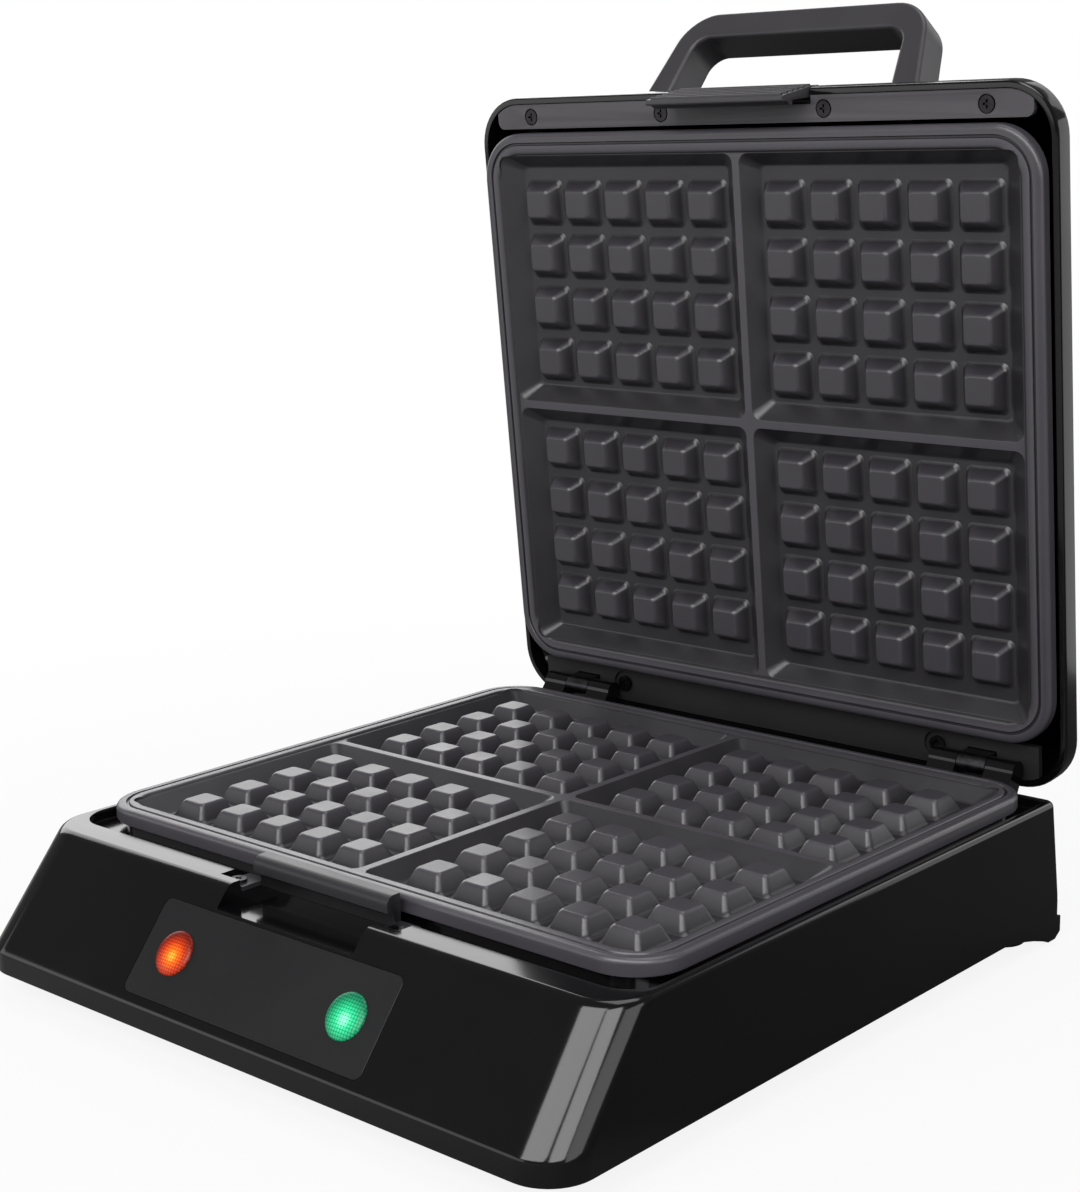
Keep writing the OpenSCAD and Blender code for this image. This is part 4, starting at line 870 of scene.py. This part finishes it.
def lensFinish(name, spot):
    # a glow that fades from a spot off the lens's middle, crossed by a fine moulded grid
    mat, tree, shader = newMaterial(name, lensLooks["sockets"])
    coord = nodeOf(tree, "ShaderNodeTexCoord")
    place = nodeOf(tree, "ShaderNodeMapping", vector_type="POINT")
    place.inputs["Location"].default_value = -spot
    tree.links.new(coord.outputs["Object"], place.inputs["Vector"])
    away = nodeOf(tree, "ShaderNodeVectorMath", operation="LENGTH")
    tree.links.new(place.outputs["Vector"], away.inputs[0])
    fade = spanOf(tree, away.outputs["Value"],
                  (lensSizes["glowCore"] * mm, lensSizes["reach"] * mm))
    glow = rampOf(tree, fade, lensLooks[name])
    uv = nodeOf(tree, "ShaderNodeUVMap", uv_map="lensUV")  # across and up the lens
    parts = nodeOf(tree, "ShaderNodeSeparateXYZ")
    tree.links.new(uv.outputs["UV"], parts.inputs[0])
    lines = []
    for axis in ("X", "Y"):
        wave = nodeOf(tree, "ShaderNodeMath", operation="PINGPONG")
        wave.inputs[1].default_value = 0.5
        tree.links.new(parts.outputs[axis], wave.inputs[0])
        lines.append(spanOf(tree, wave.outputs[0], lensLooks["gridLine"], lensLooks["gridTone"]))
    tone = nodeOf(tree, "ShaderNodeVectorMath", operation="SCALE")
    tree.links.new(glow, tone.inputs[0])
    tree.links.new(mathOf(tree, "MULTIPLY", *lines), tone.inputs["Scale"])
    tree.links.new(tone.outputs["Vector"], shader.inputs["Base Color"])
    tree.links.new(tone.outputs["Vector"], shader.inputs["Emission Color"])
    return mat


def lensDome():
    z = lensSizes
    shoulder, up = z["r"] - z["shoulderIn"], z["shoulderUp"]
    profile = [(z["r"], z["base"]), (z["r"], z["wallTop"]), (shoulder, up)]
    for step in range(1, z["domeSteps"]):
        a = math.pi / 2 * step / z["domeSteps"]
        profile.append((shoulder * math.cos(a), up + z["rise"] * math.sin(a)))
    profile.append((0, up + z["rise"]))
    bm = bmesh.new()
    verts = [bm.verts.new((r, 0, height)) for r, height in profile]
    edges = [bm.edges.new(pair) for pair in zip(verts, verts[1:])]
    bmesh.ops.spin(bm, geom=verts + edges, cent=(0, 0, 0), axis=(0, 0, 1),
                   angle=2 * math.pi, steps=48, use_merge=True)
    bmesh.ops.remove_doubles(bm, verts=bm.verts, dist=hairline)
    bmesh.ops.recalc_face_normals(bm, faces=bm.faces)
    if max(bm.faces, key=lambda f: f.calc_center_median().z).normal.z < 0:
        bmesh.ops.reverse_faces(bm, faces=bm.faces)
    uv = bm.loops.layers.uv.new("lensUV")
    for face in bm.faces:
        for corner in face.loops:
            corner[uv].uv = corner.vert.co.xy / z["grid"]
    return bm


def makeLenses():
    z = lensSizes
    for side, name, node, look, slot in (
            (-1, "powerLens", "power_lens", "orangeLens", "orange_lens"),
            (1, "readyLens", "ready_lens", "greenLens", "green_lens")):
        spread = side * housingSizes["lampX"]
        place = toRow @ onFront @ Matrix.Translation((spread, panelY, 0))
        spot = place @ Vector((z["glowX"], z["glowY"], z["rise"]))
        placePiece(name, lensDome(), place, lensFinish(look, spot), "base", node,
                   z["crisp"])
    print("lenses made")


makeLenses()

shot = {
    "place": (0.49817, -0.56864, 0.29213), "yaw": -41.97, "pitch": 11.93, "roll": -1.08,
    "lens": 64.76, "nearest": 0.01, "furthest": 30,
}


def makeCamera():
    yaw, pitch, roll = (math.radians(shot[key]) for key in ("yaw", "pitch", "roll"))
    ahead = Vector((math.sin(yaw) * math.cos(pitch), math.cos(yaw) * math.cos(pitch),
                    -math.sin(pitch)))
    right = Vector((math.cos(yaw), -math.sin(yaw), 0))
    up = right.cross(ahead)
    across = right * math.cos(roll) + up * math.sin(roll)
    upright = up * math.cos(roll) - right * math.sin(roll)
    turn = Matrix((across, upright, -ahead)).transposed().to_4x4()
    camera = bpy.data.cameras.new("camera")
    camera.lens = shot["lens"]
    camera.clip_start = shot["nearest"]
    camera.clip_end = shot["furthest"]
    obj = bpy.data.objects.new("camera", camera)
    obj.matrix_world = Matrix.Translation(shot["place"]) @ turn
    bpy.context.scene.collection.objects.link(obj)
    bpy.context.scene.camera = obj


floorLook = {
    "radius": 6, "rough": 0.9, "seenTone": (0.65, 0.65, 0.65, 1),
    "whiteFrom": (0.2, 0.6), "whiteShare": (0.88, 1.0),  # metres from the object, plain white
    "towardFront": (-0.7, -0.7, 0), "toneFrom": (-0.05, 0.12), "tone": (0.045, 0.25),
}


def makeFloor():
    # the camera sees a pale floor with a soft shadow, which turns plain white further out
    look = floorLook
    bm = bmesh.new()
    bmesh.ops.create_circle(bm, cap_ends=True, segments=64, radius=look["radius"])
    mesh = plainMesh(bm, "floor")
    floor = bpy.data.objects.new("floor", mesh)
    bpy.context.scene.collection.objects.link(floor)
    mat, tree, shader = newMaterial("floor", {"Roughness": look["rough"]})
    links, coord = tree.links, nodeOf(tree, "ShaderNodeTexCoord")
    path = nodeOf(tree, "ShaderNodeLightPath")
    # what the object mirrors: a dark floor on its right, a paler one before it
    before = nodeOf(tree, "ShaderNodeVectorMath", operation="DOT_PRODUCT")
    before.inputs[1].default_value = look["towardFront"]
    links.new(coord.outputs["Object"], before.inputs[0])
    links.new(spanOf(tree, before.outputs["Value"], look["toneFrom"], look["tone"]),
              shader.inputs["Base Color"])
    seen = nodeOf(tree, "ShaderNodeBsdfDiffuse")
    seen.inputs["Color"].default_value = look["seenTone"]
    lit = nodeOf(tree, "ShaderNodeMixShader")
    links.new(path.outputs["Is Camera Ray"], lit.inputs["Fac"])
    links.new(shader.outputs["BSDF"], lit.inputs[1])
    links.new(seen.outputs["BSDF"], lit.inputs[2])
    away = nodeOf(tree, "ShaderNodeVectorMath", operation="LENGTH")
    links.new(coord.outputs["Object"], away.inputs[0])
    white = spanOf(tree, away.outputs["Value"], look["whiteFrom"], look["whiteShare"])
    direct = mathOf(tree, "MAXIMUM", path.outputs["Is Camera Ray"],
                    path.outputs["Is Transmission Ray"])
    mix = nodeOf(tree, "ShaderNodeMixShader")
    links.new(mathOf(tree, "MULTIPLY", white, direct), mix.inputs["Fac"])
    links.new(lit.outputs["Shader"], mix.inputs[1])
    links.new(nodeOf(tree, "ShaderNodeEmission").outputs["Emission"], mix.inputs[2])
    links.new(mix.outputs["Shader"], tree.nodes["Material Output"].inputs["Surface"])
    mesh.materials.append(mat)


studio = {"aim": (0, 0, 0.12), "air": 0.15, "white": (1, 1, 1, 1)}
lamps = {
    "top": {"at": (0.15, 0.45, 2.3), "size": (1.6, 1.2), "power": 14},
    "cornerWide": {"at": (0.12, -1.37, 1.22), "size": (1.34, 0.98), "power": 19.5},
    "cornerSide": {"at": (1.22, -0.97, 1.0), "size": (0.8, 0.95), "power": 11.5},
    "cornerFade": {"at": (1.86, -0.08, 0.46), "size": (1.35, 0.8), "power": 5.6},
    "rimBox": {"at": (-1.5, 0.78, 0.86), "size": (2.0, 1.15), "power": 18},
    "sideCard": {"at": (0.31, 0.45, 0.2), "size": (0.28, 0.42), "power": 0.36},
    "backCard": {"at": (0.15, 1.55, 0.95), "size": (1.1, 0.65), "power": 2.2},
    "lidGlow": {"at": (-1.25, -1.6, 0.4), "size": (2.4, 0.75), "power": 6},
}


def makeLights():
    for name, lamp in lamps.items():
        light = bpy.data.lights.new(name, "AREA")
        light.shape = "RECTANGLE"
        light.size, light.size_y = lamp["size"]
        light.energy = lamp["power"]
        obj = bpy.data.objects.new(name, light)
        aim = Vector(studio["aim"]) - Vector(lamp["at"])
        turn = aim.to_track_quat("-Z", "Y").to_matrix().to_4x4()
        obj.matrix_world = Matrix.Translation(lamp["at"]) @ turn
        bpy.context.scene.collection.objects.link(obj)


def makeWorld():
    # dim air round the object, plain white to the camera
    world = bpy.data.worlds.new("studio")
    bpy.context.scene.world = world
    world.use_nodes = True
    tree = world.node_tree
    air = tree.nodes["Background"]
    air.inputs["Color"].default_value = studio["white"]
    air.inputs["Strength"].default_value = studio["air"]
    seen = nodeOf(tree, "ShaderNodeBackground")
    seen.inputs["Color"].default_value = studio["white"]
    path = nodeOf(tree, "ShaderNodeLightPath")
    mix = nodeOf(tree, "ShaderNodeMixShader")
    tree.links.new(path.outputs["Is Camera Ray"], mix.inputs["Fac"])
    tree.links.new(air.outputs["Background"], mix.inputs[1])
    tree.links.new(seen.outputs["Background"], mix.inputs[2])
    tree.links.new(mix.outputs["Shader"], tree.nodes["World Output"].inputs["Surface"])


makeCamera()
makeFloor()
makeLights()
makeWorld()
bpy.context.scene.view_settings.view_transform = "Standard"
print("camera, floor and lamps placed")
